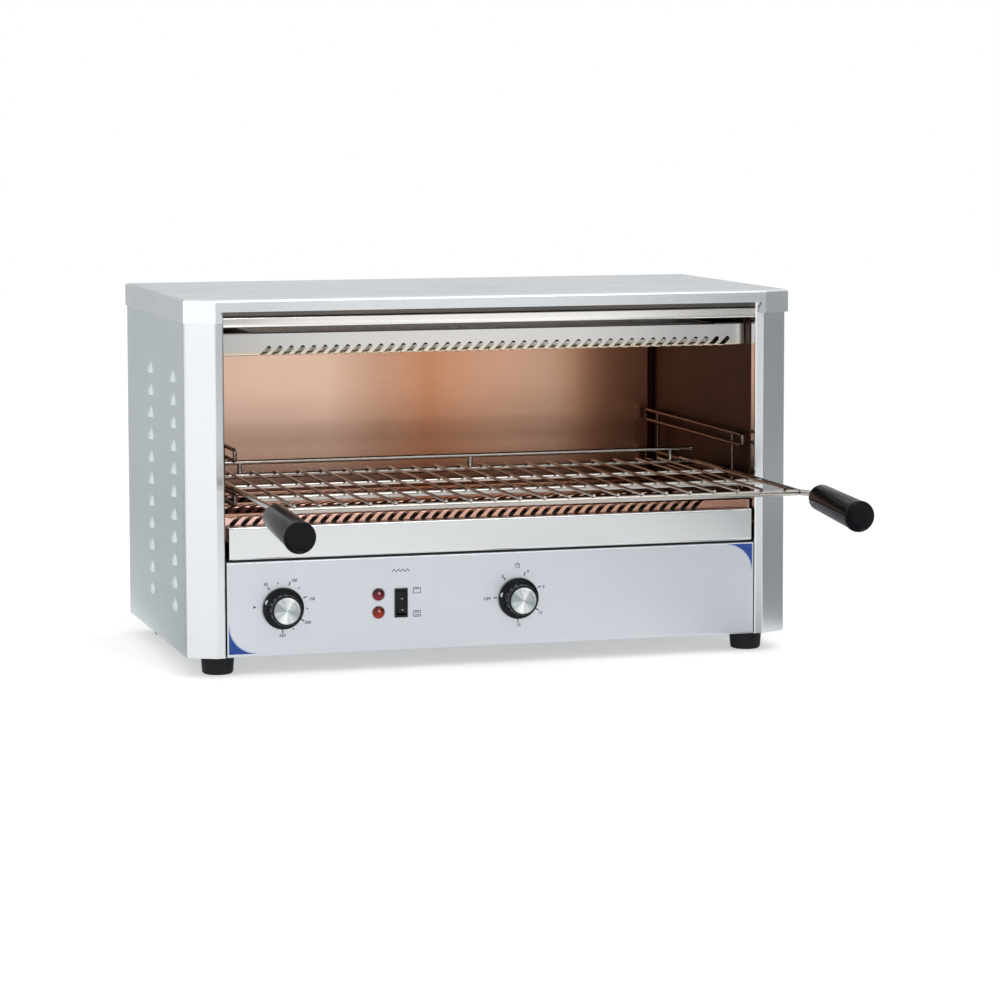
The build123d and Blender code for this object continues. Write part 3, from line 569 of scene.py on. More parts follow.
def spunAluminiumPaintedSheen(name, centre):
    # Aluminium disc turned on a lathe: fine rings, and a painted sheen, a fan of light and dark
    # wedges in its colour that stands for the light such rings throw back
    material, tree = newMaterial(name)
    local, flat = aboutCentre(tree, centre)
    away = addNode(tree, "ShaderNodeVectorMath", {"operation": "LENGTH"}, {0: flat})
    axes = addNode(tree, "ShaderNodeSeparateXYZ", links={"Vector": local}).outputs
    angle = addNode(
        tree, "ShaderNodeMath", {"operation": "ARCTAN2"}, {0: axes["Z"], 1: axes["X"]}
    )
    paintedSheen = None
    for count, turn, strength in spunDisc["sheenWedges"]:
        bent = addNode(
            tree, "ShaderNodeMath", {"operation": "MULTIPLY_ADD", 1: count, 2: turn}, {0: angle}
        )
        wave = addNode(tree, "ShaderNodeMath", {"operation": "SINE"}, {0: bent})
        paintedSheen = addNode(
            tree,
            "ShaderNodeMath",
            {"operation": "MULTIPLY_ADD", 1: strength, 2: 0.0},
            {0: wave, 2: paintedSheen} if paintedSheen else {0: wave},
        )
    low, high = spunDisc["shades"]
    shade = addNode(tree, "ShaderNodeMapRange", {"From Min": low, "From Max": high}, {"Value": paintedSheen})
    colour = addNode(
        tree,
        "ShaderNodeMixRGB",
        {"Color1": toLinear(spunDisc["dark"]), "Color2": toLinear(spunDisc["light"])},
        {"Fac": shade},
    )
    ring = addNode(
        tree,
        "ShaderNodeMath",
        {"operation": "MULTIPLY", 1: 2 * math.pi * 1000 / spunDisc["ringGap"]},
        {0: away.outputs["Value"]},
    )
    groove = addNode(tree, "ShaderNodeMath", {"operation": "SINE"}, {0: ring})
    bump = addNode(
        tree,
        "ShaderNodeBump",
        {"Strength": spunDisc["ringBump"], "Distance": spunDisc["ringDepth"]},
        {"Height": groove},
    )
    shader = addNode(
        tree,
        "ShaderNodeBsdfPrincipled",
        {"Metallic": 1.0, "Roughness": spunDisc["rough"]},
        {"Base Color": colour, "Normal": bump},
    )
    addNode(tree, "ShaderNodeOutputMaterial", links={"Surface": shader})
    return material


acrylic = {
    # The lens's glow is painted light
    "glow": (3.0, -6.0),  # mm over the middle where the glow starts and where it is full
    # The pale spot in the upper half is a painted highlight; these give its rise and its outer and
    # inner edge in mm
    "highlightRise": 1.6,
    "highlightEdge": (1.8, 0.5),
    "facetSize": 1.4286,
    "facetBump": 0.03,
    "facetDepth": 0.0001,
    "rough": 0.05,
    "shine": 0.3,
}


def colouredLens(name, deepHex, brightHex, highlightHex, centre):
    # Tinted acrylic over a small lamp, with painted light in its colour: a painted glow that makes
    # it lighter towards its lower edge, and a pale painted highlight in its upper half
    material, tree = newMaterial(name)
    local, flat = aboutCentre(tree, centre)
    axes = addNode(tree, "ShaderNodeSeparateXYZ", links={"Vector": local}).outputs
    start, full = acrylic["glow"]
    glow = addNode(
        tree,
        "ShaderNodeMapRange",
        {"From Min": start / 1000, "From Max": full / 1000},
        {"Value": axes["Z"]},
    )
    highlightPlace = (0, 0, acrylic["highlightRise"] / 1000)
    fromHighlight = addNode(
        tree, "ShaderNodeVectorMath", {"operation": "DISTANCE", 1: highlightPlace}, {0: flat}
    )
    outer, inner = acrylic["highlightEdge"]
    highlightSpot = addNode(
        tree,
        "ShaderNodeMapRange",
        {"From Min": outer / 1000, "From Max": inner / 1000},
        {"Value": fromHighlight.outputs["Value"]},
    )
    tint = addNode(
        tree,
        "ShaderNodeMixRGB",
        {"Color1": toLinear(deepHex), "Color2": toLinear(brightHex)},
        {"Fac": glow},
    )
    colour = addNode(
        tree, "ShaderNodeMixRGB", {"Color2": toLinear(highlightHex)}, {"Fac": highlightSpot, "Color1": tint}
    )
    coords = addNode(tree, "ShaderNodeTexCoord").outputs["Object"]
    facets = addNode(
        tree, "ShaderNodeTexVoronoi", {"Scale": 1000 / acrylic["facetSize"]}, {"Vector": coords}
    )
    bump = addNode(
        tree,
        "ShaderNodeBump",
        {"Strength": acrylic["facetBump"], "Distance": acrylic["facetDepth"]},
        {"Height": facets},
    )
    shader = addNode(
        tree,
        "ShaderNodeBsdfPrincipled",
        {"Roughness": acrylic["rough"], "Specular IOR Level": acrylic["shine"]},
        {"Base Color": colour, "Normal": bump},
    )
    addNode(tree, "ShaderNodeOutputMaterial", links={"Surface": shader})
    return material


# Knobs: a skirt with a raised fluted grip and a spun disc let into its face
knob = {
    "height": 48.2,
    "baseBack": 0.2,
    "thermostatX": -223.6,
    "timerX": 23.8,
    "thermostatAngle": 158,
    "timerAngle": 166,
    "flutes": 16,
    "fluteHeights": (4.9, 17.7),
    "fluteRadius": 15.2,
    "fluteShare": (0.3, 0.7),  # of the step from one flute to the next
    "fluteDepth": 0.955,
    "profile": (
        (20.9, 0.0), (21.2, 0.4), (21.2, 2.0), (20.7, 2.8), (17.7, 3.3), (17.1, 3.9),
        (16.8, 5.0), (15.7, 15.5), (15.4, 17.6), (15.1, 18.5), (14.6, 19.0), (13.9, 19.0),
        (13.6, 18.7), (13.6, 18.1),
    ),
    "capProfile": (
        (13.5, 17.95), (13.5, 19.1), (13.1, 19.5), (12.6, 19.5), (12.3, 19.35), (11.6, 19.35),
        (11.3, 19.45),
    ),
    "spotRadius": 18.9,
    "spotLift": 2.95,
    "spotSize": (2.4, 1.7),
    "spotThickness": 0.2,
}


def knobBody():
    piece = turned(knob["profile"], segments=knob["flutes"] * 8)
    step = 2 * math.pi / knob["flutes"]
    (low, high), (start, end) = knob["fluteHeights"], knob["fluteShare"]

    def inFlute(vertex):
        x, y, z = vertex.co * 1000
        if not low < z < high or math.hypot(x, y) < knob["fluteRadius"]:
            return False
        share = (math.atan2(y, x) % step) / step
        return start < share < end

    selectParts(piece, "VERT", inFlute)
    bpy.ops.transform.resize(
        value=(knob["fluteDepth"], knob["fluteDepth"], 1), center_override=(0, 0, 0)
    )
    bpy.ops.object.mode_set(mode="OBJECT")
    return piece


def knobSpot():
    # The white oval that points at the scale, a little proud of the skirt
    deselectAll()
    bpy.ops.mesh.primitive_circle_add(vertices=32, radius=0.001, fill_type="NGON")
    spot = bpy.context.object
    spot.scale = (*knob["spotSize"], 1)
    bpy.ops.object.transform_apply(scale=True)
    return thicken(spot, knob["spotThickness"])


faceFront = (math.pi / 2, 0, 0)
faceBack = (-math.pi / 2, 0, 0)
for dial, x in (("thermostat", knob["thermostatX"]), ("timer", knob["timerX"])):
    place = at(x, knob["baseBack"], knob["height"])
    body = settle(knobBody(), dial + "KnobGrip", place, faceFront)
    dress(body, materials["satinKnobBlack"], dial + "_dial", [dial + "_knob"])
    cap = settle(turned(knob["capProfile"], segments=96), dial + "KnobDisc", place, faceFront)
    spun = spunAluminiumPaintedSheen(dial + "SpunAluminiumPaintedSheen", place)
    dress(cap, spun, dial + "_dial", [dial + "_knob_cap"])
    angle = math.radians(knob[dial + "Angle"])
    reach = knob["spotRadius"]
    spotX, spotZ = x + reach * math.cos(angle), knob["height"] + reach * math.sin(angle)
    spotPlace = at(spotX, knob["baseBack"] - knob["spotLift"], spotZ)
    spot = settle(knobSpot(), dial + "KnobSpot", spotPlace, (math.pi / 2, math.pi / 2 - angle, 0))
    dress(spot, materials["whiteInk"], dial + "_dial")
print("knobs")


# Grips: turned bars that widen to a beaded end with a shallow dish
grip = {
    "start": (275.0, -197.0, 167.05),
    "slope": 4.19,
    "profile": (
        (5.0, 0.0), (7.2, 0.1), (9.4, 0.9), (11.2, 2.4), (12.4, 4.2), (13.1, 6.2), (13.3, 8.0),
        (14.8, 101.2), (14.75, 101.6), (14.4, 101.9), (14.4, 102.2), (14.9, 102.5),
        (15.3, 103.1), (15.4, 103.9), (15.4, 105.2), (15.2, 106.1), (14.8, 106.7),
        (14.2, 107.0), (13.6, 106.9), (13.2, 106.5), (12.8, 106.1), (12.0, 105.9), (6.0, 105.8),
        (0.5, 105.8),
    ),
}
for side, name in ((-1, "left"), (1, "right")):
    x, y, z = grip["start"]
    tilt = (math.radians(90 + grip["slope"]), 0, 0)
    bar = turned(grip["profile"], segments=72, closedTip=True)
    settle(bar, name + "HandleBar", at(side * x, y, z), tilt)
    dress(bar, materials["phenolicBlack"], "rack", [name + "_handle_grip"])
print("grips")


# Pilot lamps: a domed lens on its barrel, in a thin bright collar
lamp = {
    "x": -124.5,
    "faceBack": 1.0,
    "colours": {
        # Deep tint, bright tint, pale painted highlight and height in mm
        "red": ("#3C0314", "#9C102C", "#E8A6B4", 58.3),
        "amber": ("#5C0A02", "#BE2C06", "#F0A488", 39.9),
    },
    "profile": (
        (4.0, -24.0), (4.2, -23.6), (4.2, 0.0), (5.9, 0.0), (6.0, 0.3), (6.0, 0.9), (5.85, 1.6),
        (5.4, 2.3), (4.7, 2.95), (3.8, 3.5), (2.7, 3.9), (1.4, 4.14), (0.4, 4.2),
    ),
    "collar": ((6.05, 0.0), (7.0, 0.0), (7.0, 0.35), (6.7, 0.6), (6.3, 0.6), (6.05, 0.35)),
}
for colour, (deep, bright, paintedHighlight, height) in lamp["colours"].items():
    place = at(lamp["x"], lamp["faceBack"], height)
    lens = settle(
        turned(lamp["profile"], segments=48, closedTip=True), colour + "LampLens", place, faceFront
    )
    tint = colouredLens(colour + "AcrylicLens", deep, bright, paintedHighlight, place)
    dress(lens, tint, "cabinet", [colour + "_pilot_lamp"])
    collar = turned(lamp["collar"], segments=48)
    selectParts(collar, "FACE", lambda face: abs(face.normal.z) > 0.99 and len(face.vertices) > 4)
    bpy.ops.mesh.delete(type="FACE")
    bpy.ops.mesh.select_mode(type="EDGE")
    bpy.ops.mesh.select_non_manifold()
    bpy.ops.mesh.bridge_edge_loops()
    bpy.ops.object.mode_set(mode="OBJECT")
    settle(collar, colour + "LampCollar", place, faceFront)
    dress(collar, materials["platedSteel"], "cabinet")
print("pilot lamps")


# Print on the control panel
panelPrint = {
    "faceBack": 1.0,
    "thickness": 0.08,
    "scaleRise": 1.3,  # the scales sit a little above the middle of the knobs
    "tickStart": 22.6,
    "tickLength": 3.9,
    "tickWidth": 1.1,
    "numberHeight": 3.0,
    "boldness": 0.07,
    "thermostatMarks": (
        (53, "50", -17.7, 25.0), (106, "100", 11.5, 28.0), (158, "150", 29.8, 8.4),
        (215, "200", 25.4, -15.4), (271, "250", -0.8, -27.6),
    ),
    "thermostatDots": (78, 131, 186, 245),
    "dotReach": 25.2,
    "dotSize": (1.9, 1.0),
    "arrowTurn": 2,
    "arrowReach": 29.6,
    "arrowRadius": 1.9,
    "timerMarks": (
        (0, "OFF", -33.2, 0.6), (53, "3", -16.9, 23.5), (106, "6", 10.6, 27.4),
        (157, "9", 27.2, 10.3), (214, "12", 23.7, -16.3), (271, "15", 0.4, -28.0),
    ),
    "cornerLegs": 29.0,
    "edgingWidth": 0.9,
    "cornerInsets": {"left": (1.6, 3.4), "right": (1.4, 1.4)},
    "panelHalf": 281.0,
    "panelHeight": 96.7,
}


def stroke(x, z, width, height, angle=0.0):
    # A printed stroke on the panel, its long side turned by an angle from level
    deselectAll()
    bpy.ops.mesh.primitive_plane_add(size=0.001)
    line = bpy.context.object
    line.scale = (width, height, 1)
    line.rotation_euler = (0, 0, angle)
    bpy.ops.object.transform_apply(rotation=True, scale=True)
    thicken(line, panelPrint["thickness"])
    return settle(line, "stroke", at(x, panelPrint["faceBack"], z), faceFront)


def numberOnPanel(text, x, z):
    deselectAll()
    bpy.ops.object.text_add()
    letters = bpy.context.object
    letters.data.body = text
    letters.data.size = panelPrint["numberHeight"] / 1000 / 0.7
    letters.data.align_x = "CENTER"
    letters.data.align_y = "CENTER"
    letters.data.extrude = panelPrint["thickness"] / 2000
    letters.data.offset = panelPrint["boldness"] / 1000
    pick(letters)
    bpy.ops.object.convert(target="MESH")
    letters = bpy.context.object
    place = at(x, panelPrint["faceBack"] - panelPrint["thickness"] / 2, z)
    return settle(letters, "number", place, faceFront)


def flatRing(radius, width):
    deselectAll()
    bpy.ops.mesh.primitive_circle_add(vertices=96, radius=radius / 1000, fill_type="NGON")
    ring = bpy.context.object
    bpy.ops.object.mode_set(mode="EDIT")
    bpy.ops.mesh.select_all(action="SELECT")
    bpy.ops.mesh.inset(thickness=width / 1000)
    bpy.ops.mesh.delete(type="FACE")
    bpy.ops.object.mode_set(mode="OBJECT")
    return ring


def clockPlace(x, degreesFromNine, radius):
    # A place round a knob, counted clockwise from the nine o'clock side
    angle = math.pi - math.radians(degreesFromNine)
    middle = knob["height"] + panelPrint["scaleRise"]
    return x + radius * math.cos(angle), middle + radius * math.sin(angle), angle


def dialScale(x, numbers):
    pieces = []
    length, width = panelPrint["tickLength"], panelPrint["tickWidth"]
    for turn, text, across, up in numbers:
        tickX, tickZ, angle = clockPlace(x, turn, panelPrint["tickStart"] + length / 2)
        pieces.append(stroke(tickX, tickZ, length, width, angle))
        pieces.append(numberOnPanel(text, x + across, knob["height"] + up))
    return pieces


thermostatMarks = dialScale(knob["thermostatX"], panelPrint["thermostatMarks"])
for turn in panelPrint["thermostatDots"]:
    dotX, dotZ, angle = clockPlace(knob["thermostatX"], turn, panelPrint["dotReach"])
    thermostatMarks.append(stroke(dotX, dotZ, *panelPrint["dotSize"], angle))
deselectAll()
bpy.ops.mesh.primitive_circle_add(
    vertices=3, radius=panelPrint["arrowRadius"] / 1000, fill_type="NGON"
)
offArrow = bpy.context.object
offArrow.rotation_euler = (0, 0, -math.pi / 2)
bpy.ops.object.transform_apply(rotation=True)
thicken(offArrow, panelPrint["thickness"])
arrowX, arrowZ, _ = clockPlace(
    knob["thermostatX"], panelPrint["arrowTurn"], panelPrint["arrowReach"]
)
thermostatMarks.append(
    settle(offArrow, "offArrow", at(arrowX, panelPrint["faceBack"], arrowZ), faceFront)
)
thermostatScale = settle(joinAll(thermostatMarks), "thermostatScale")

# A small clock over the timer, with hands of (right, up, width, height) from its middle
clock = {
    "x": 23.0, "z": 82.0, "radius": 2.7, "line": 0.6,
    "hands": ((0.0, 0.9, 0.55, 1.9), (0.6, 0.0, 1.6, 0.55)),
}
timerMarks = dialScale(knob["timerX"], panelPrint["timerMarks"])
clockRing = thicken(flatRing(clock["radius"], clock["line"]), panelPrint["thickness"])
clockPoint = at(clock["x"], panelPrint["faceBack"], clock["z"])
timerMarks.append(settle(clockRing, "clock", clockPoint, faceFront))
for right, up, width, height in clock["hands"]:
    timerMarks.append(stroke(clock["x"] + right, clock["z"] + up, width, height))
timerScale = settle(joinAll(timerMarks), "timerScale")


# Beside the switch, a sign for each of its two positions: an oven's outline with a bar for each
# set of elements that is on, the upper one as 1 and the lower one as -1
oven = {
    "x": -84.0, "size": (7.4, 5.6), "line": 0.6, "inset": 1.4, "barLength": 4.8, "barLine": 0.8,
    "signs": ((61.0, (1,)), (37.0, (1, -1))),
}


def ovenSign(x, z, bars):
    (wide, high), line = oven["size"], oven["line"]
    strokes = [
        stroke(x, z + high / 2, wide, line),
        stroke(x, z - high / 2, wide, line),
        stroke(x - wide / 2, z, line, high + line),
        stroke(x + wide / 2, z, line, high + line),
    ]
    for bar in bars:
        barZ = z + bar * (high / 2 - oven["inset"])
        strokes.append(stroke(x, barZ, oven["barLength"], oven["barLine"]))
    return strokes


switchMarks = []
for height, bars in oven["signs"]:
    switchMarks += ovenSign(oven["x"], height, bars)

# A heating coil's zigzag over the switch
zigzag = {
    "x": -101.0, "z": 82.0, "strokes": 8, "pitch": 2.3, "lean": 52, "length": 3.9, "line": 0.65,
}
for index in range(zigzag["strokes"]):
    lean = math.radians(zigzag["lean"] if index % 2 == 0 else -zigzag["lean"])
    shift = (index - (zigzag["strokes"] - 1) / 2) * zigzag["pitch"]
    switchMarks.append(
        stroke(zigzag["x"] + shift, zigzag["z"], zigzag["length"], zigzag["line"], lean)
    )
switchSigns = settle(joinAll(switchMarks), "switchSigns")
for piece in (thermostatScale, timerScale, switchSigns):
    dress(piece, materials["blackInk"], "cabinet")


def cornerFlash(name, side, height, insets):
    # The coloured corner: what a quarter arc leaves of a square, with a pale line along the arc
    # that is partly print and partly a painted highlight
    legs = panelPrint["cornerLegs"] / 1000
    deselectAll()
    bpy.ops.mesh.primitive_circle_add(vertices=128, radius=legs, fill_type="NOTHING")
    flash = bpy.context.object
    limit = 0.0000001
    selectParts(flash, "VERT", lambda v: v.co.x < -limit or v.co.y < -limit)
    bpy.ops.mesh.delete(type="VERT")
    bpy.ops.mesh.select_all(action="SELECT")
    bpy.ops.mesh.extrude_region_move(TRANSFORM_OT_translate={"value": (0, 0, 0)})
    bpy.ops.mesh.merge(type="CENTER")
    bpy.ops.object.mode_set(mode="OBJECT")
    for vertex in flash.data.vertices:
        if vertex.select:
            vertex.co = (legs, legs, 0)
    edging = flatRing(panelPrint["cornerLegs"], panelPrint["edgingWidth"])
    pick(edging)
    bpy.ops.object.mode_set(mode="EDIT")
    for cut in ((1, 0, 0), (0, 1, 0)):
        bpy.ops.mesh.select_all(action="SELECT")
        bpy.ops.mesh.bisect(plane_co=(0, 0, 0), plane_no=cut, clear_inner=True)
    bpy.ops.object.mode_set(mode="OBJECT")
    x = side * (panelPrint["panelHalf"] - insets[0] - panelPrint["cornerLegs"])
    reach = panelPrint["panelHeight"] / 2 - insets[1] - panelPrint["cornerLegs"]
    z = panelPrint["panelHeight"] / 2 + height * reach
    for piece, ending, ink in ((flash, "Flash", "blueInk"), (edging, "Edging", "lavenderInkAndHighlight")):
        thicken(piece, panelPrint["thickness"])
        piece.scale = (side, height, 1)
        settle(piece, name + ending, at(x, panelPrint["faceBack"], z), faceFront)
        dress(piece, materials[ink], "cabinet")


cornerFlash("lowerLeft", -1, -1, panelPrint["cornerInsets"]["left"])
cornerFlash("upperRight", 1, 1, panelPrint["cornerInsets"]["right"])

# Pale bars moulded into the rocker, one for each position, laid on its face wherever that slopes
rockerMarks = {
    "x": -100.1, "bars": ((53.0, (0.0,)), (40.9, (0.935, -0.935))), "size": (2.0, 0.5), "rise": 0.1,
}
marks = []
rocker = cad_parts["switch_rocker"]
for height, lifts in rockerMarks["bars"]:
    start = at(rockerMarks["x"], -60, height)
    _, spot, normal, _ = rocker.ray_cast(start, Vector((0, 1, 0)))
    for lift in lifts:
        deselectAll()
        bpy.ops.mesh.primitive_plane_add(size=0.001)
        bar = bpy.context.object
        bar.scale = (*rockerMarks["size"], 1)
        bpy.ops.object.transform_apply(scale=True)
        thicken(bar, rockerMarks["rise"])
        lean = math.atan2(-normal.z, -normal.y)
        offset = Vector((0, math.sin(lean), math.cos(lean))) * lift / 1000
        settle(bar, "rockerBar", spot + offset, (math.pi / 2 + lean, 0, 0))
        marks.append(bar)
rockerBars = settle(joinAll(marks), "rockerBars")
dress(rockerBars, materials["whiteInk"], "rocker")
print("print on the panel")


# Pan-head screws with a cross recess, on the back and in the feet
screw = {
    "profile": (
        (1.6, -12.0), (2.0, -11.4), (2.0, 0.0), (3.9, 0.0), (4.0, 0.3), (3.95, 1.0), (3.6, 1.7),
        (2.9, 2.15), (1.9, 2.36), (0.6, 2.4),
    ),
    "crossLength": 4.2,
    "crossWidth": 0.95,
    "crossDepth": 1.3,
    "backX": 311.8,
    "backY": 337.0,
    "backHeights": (30.0, 125.0, 220.0, 315.0),
    "footPlaces": ((284.6, 34.0), (284.6, 300.0)),
    "footSeat": -9.0,
    "turnSteps": (0.6, 0.5),  # from one screw to the next, on the back and in the feet
}
panHead = turned(screw["profile"], segments=32, closedTip=True)
deselectAll()
cross = []
headTop = screw["profile"][-1][1]
for turn in (0, math.pi / 2):
    bpy.ops.mesh.primitive_cube_add(size=0.001, location=(0, 0, headTop / 1000))
    blade = bpy.context.object
    blade.scale = (screw["crossLength"], screw["crossWidth"], 2 * screw["crossDepth"])
    blade.rotation_euler = (0, 0, turn)
    bpy.ops.object.transform_apply(location=True, rotation=True, scale=True)
    cross.append(blade)
for blade in cross:
    cut = panHead.modifiers.new("crossRecess", "BOOLEAN")
    cut.operation = "DIFFERENCE"
    cut.object = blade
    pick(panHead)
    bpy.ops.object.modifier_apply(modifier=cut.name)
    bpy.data.objects.remove(blade, do_unlink=True)
heads = []
backStep, footStep = screw["turnSteps"]
for side in (-1, 1):
    for height in screw["backHeights"]:
        place = at(side * screw["backX"], screw["backY"], height)
        turn = (-math.pi / 2, backStep * len(heads), 0)
        heads.append(settle(copyOf(panHead), "backScrew", place, turn))
    for x, y in screw["footPlaces"]:
        place = at(side * x, y, screw["footSeat"])
        turn = (math.pi, 0, footStep * len(heads))
        heads.append(settle(copyOf(panHead), "footScrew", place, turn))
bpy.data.objects.remove(panHead, do_unlink=True)
crossScrews = settle(joinAll(heads), "crossHeadScrews", smooth=30)
dress(crossScrews, materials["platedSteel"], "cabinet", ["cabinet_screws"])
print("screws")


# Cable gland: a hexagon body outside, a domed and slotted nut on it, and a lock nut inside
gland = {
    "place": (230.0, 337.0, 42.0),
    "hexagon": ((11.6, 0.0), (12.4, 0.6), (12.4, 3.6), (11.6, 4.0)),
    "nut": (
        (9.0, 4.0), (9.4, 4.4), (9.4, 11.0), (9.0, 12.6), (8.2, 14.2), (7.0, 15.5), (6.0, 16.0),
        (5.0, 15.9), (4.8, 15.2), (4.8, 6.0),
    ),
    "lockNut": ((12.4, -5.2), (12.4, -1.3), (8.0, -1.2), (8.0, 0.0)),
    "ribs": 18,
    "ribHeights": (4.2, 11.5),
    "ribRadius": 9.2,
    "grooveShare": (0.2, 0.8),  # of the step from one rib to the next
    "grooveDepth": 0.955,
}
ribbed = turned(gland["nut"], segments=gland["ribs"] * 4)
ribStep = 2 * math.pi / gland["ribs"]


def betweenRibs(vertex):
    x, y, z = vertex.co * 1000
    (low, high), (start, end) = gland["ribHeights"], gland["grooveShare"]
    share = (math.atan2(y, x) % ribStep) / ribStep
    return low < z < high and math.hypot(x, y) > gland["ribRadius"] and start < share < end


selectParts(ribbed, "VERT", betweenRibs)
bpy.ops.transform.resize(
    value=(gland["grooveDepth"], gland["grooveDepth"], 1), center_override=(0, 0, 0)
)
bpy.ops.object.mode_set(mode="OBJECT")
rings = [turned(gland["hexagon"], segments=6), ribbed, turned(gland["lockNut"], segments=6)]
cableGland = settle(joinAll(rings), "ribbedCableGland", at(*gland["place"]), faceBack, smooth=28)
dress(cableGland, materials["glandPolyamide"], "cabinet", ["cable_gland"])
print("cable gland")


# Spot welds that hold the front guard to its brackets and stiffener
weld = {
    "y": 30.0,
    "z": 339.0,
    "places": (-232.8, -160.2, 120.1, 154.0),
    "profile": ((1.5, -0.1), (1.4, 0.08), (1.0, 0.14), (0.6, 0.05), (0.2, 0.02)),
}
dimples = []
for x in weld["places"]:
    dimple = turned(weld["profile"], segments=20, closedTip=True)
    dimples.append(settle(dimple, "dimple", at(x, weld["y"], weld["z"]), faceFront))
guardWelds = settle(joinAll(dimples), "guardSpotWelds")
dress(guardWelds, materials["darkGreySheet"], "cabinet")
print("spot welds")


# Sheet strips across the front, bent along profiles of (back, up) down the middle of the sheet:
# the rail over the opening, which closes the rail of the frame with tighter bends, and the
# baffle that stands on it behind the slot
strips = {
    "frontRail": {
        "profile": ((25, 333.0), (3.5, 333.0), (3.5, 341.9), (25, 341.9)),
        "sheet": 1.0, "bend": 0.7, "finish": "brightStainlessRail",
        "slot": "stainless_panel", "replaced": ("upper_front_rail",),
    },
    # The baffle's dark grey is painted shade in the slot over the opening
    "slotBaffle": {
        "profile": ((20, 342.8), (9, 342.8), (9, 354)),
        "sheet": 0.8, "bend": 1.0, "finish": "darkGreySheet",
        "slot": "galvanised_sheet", "replaced": (),
    },
}


def foldedStrip(half, profile, sheet, bend):
    deselectAll()
    (startY, startZ), (nextY, nextZ) = profile[:2]
    middle = at(0, (startY + nextY) / 2, (startZ + nextZ) / 2)
    bpy.ops.mesh.primitive_plane_add(size=0.001, location=middle)
    strip = bpy.context.object
    strip.scale = (2 * half, math.hypot(nextY - startY, nextZ - startZ), 1)
    strip.rotation_euler = (math.atan2(nextZ - startZ, nextY - startY), 0, 0)
    bpy.ops.object.transform_apply(location=True, rotation=True, scale=True)
    mesh = strip.data

    def onLine(y, z):
        line = at(0, y, z)
        return lambda edge: all(
            math.hypot(mesh.vertices[v].co.y - line.y, mesh.vertices[v].co.z - line.z) < 0.0001
            for v in edge.vertices
        )

    for (y, z), (farY, farZ) in zip(profile[1:], profile[2:]):
        selectParts(strip, "EDGE", onLine(y, z))
        step = at(0, farY, farZ) - at(0, y, z)
        bpy.ops.mesh.extrude_region_move(TRANSFORM_OT_translate={"value": tuple(step)})
        bpy.ops.object.mode_set(mode="OBJECT")
    bends = [onLine(y, z) for y, z in profile[1:-1]]
    selectParts(strip, "EDGE", lambda edge: any(bent(edge) for bent in bends))
    bpy.ops.mesh.bevel(offset=bend / 1000, segments=4, affect="EDGES")
    bpy.ops.object.mode_set(mode="OBJECT")
    pick(strip)
    shell = strip.modifiers.new("sheetThickness", "SOLIDIFY")
    shell.thickness = sheet / 1000
    shell.offset = 0
    bpy.ops.object.modifier_apply(modifier=shell.name)
    return strip


railHalf = 1000 * max(corner[0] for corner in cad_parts["upper_front_rail"].bound_box)
for name, form in strips.items():
    strip = foldedStrip(railHalf, form["profile"], form["sheet"], form["bend"])
    settle(strip, name)
    dress(strip, materials[form["finish"]], "cabinet", form["replaced"])
print("front rail and baffle")


# Floor, lights and camera
studio = {
    "floorSize": 14,
    "floorLevel": -0.0002,
    "runnerLevel": 0.0004,
    "lampAim": (0, 0, 0.2),
    "floor": "#DADADA",
    "floorGlow": 0.46,
    "worldLight": 0.8,
    "lamps": {
        "keySoftbox": {"from": (-2.2, -2.4, 2.0), "size": 1.8, "power": 14.0},
        "topSoftbox": {"from": (0.5, -1.4, 2.4), "size": 0.9, "power": 9.0},
        "leftSoftbox": {"from": (-1.9, -2.7, 0.75), "size": 1.4, "power": 2.6},
        "sparkLamp": {"from": (0.2, -2.2, 2.1), "size": 0.22, "power": 7.0},
    },
    "cards": {
        "rightShadeCard": {"azimuth": -36, "away": 1.8, "size": (2.1, 1.7), "grey": "#B4B7B9"},
        "stripShadeCard": {"azimuth": -87.4, "away": 2.4, "size": (0.3, 1.7), "grey": "#AEB0B2"},
        "coverShadeCard": {"azimuth": 72, "away": 2.5, "size": (2.8, 1.5), "grey": "#E6E8EA"},
        "leftShadeCard": {"azimuth": 113, "away": 2.2, "size": (1.6, 1.5), "grey": "#DADCDE"},
    },
    "runners": {
        "rightRunner": {
            "grey": "#979A9C",
            "outline": (
                (0.45, 0.1), (0.53, -0.7), (0.58, -1.06), (0.44, -1.13), (0.80, -1.8),
                (1.6, -1.95), (1.8, 0.1),
            ),
        },
        "stripRunner": {
            "grey": "#B7B9BB",
            "outline": (
                (0.265, -0.02), (0.16, -1.2), (0.05, -2.39), (0.26, -2.39), (0.3, -1.2),
                (0.32, -0.02),
            ),
        },
        "leftRunner": {
            "grey": "#C0C3C5",
            "outline": ((-0.33, 0.0), (-0.36, 0.36), (-0.5, 2.1), (-1.5, 1.9), (-1.0, 0.15)),
        },
    },
}


def seenDirectly(tree):
    # One for rays from the camera, off gloss and through glass, nought for the rest
    path = addNode(tree, "ShaderNodeLightPath").outputs
    seen = addNode(
        tree,
        "ShaderNodeMath",
        {"operation": "MAXIMUM"},
        {0: path["Is Camera Ray"], 1: path["Is Glossy Ray"]},
    )
    return addNode(
        tree, "ShaderNodeMath", {"operation": "MAXIMUM"}, {0: seen, 1: path["Is Transmission Ray"]}
    )


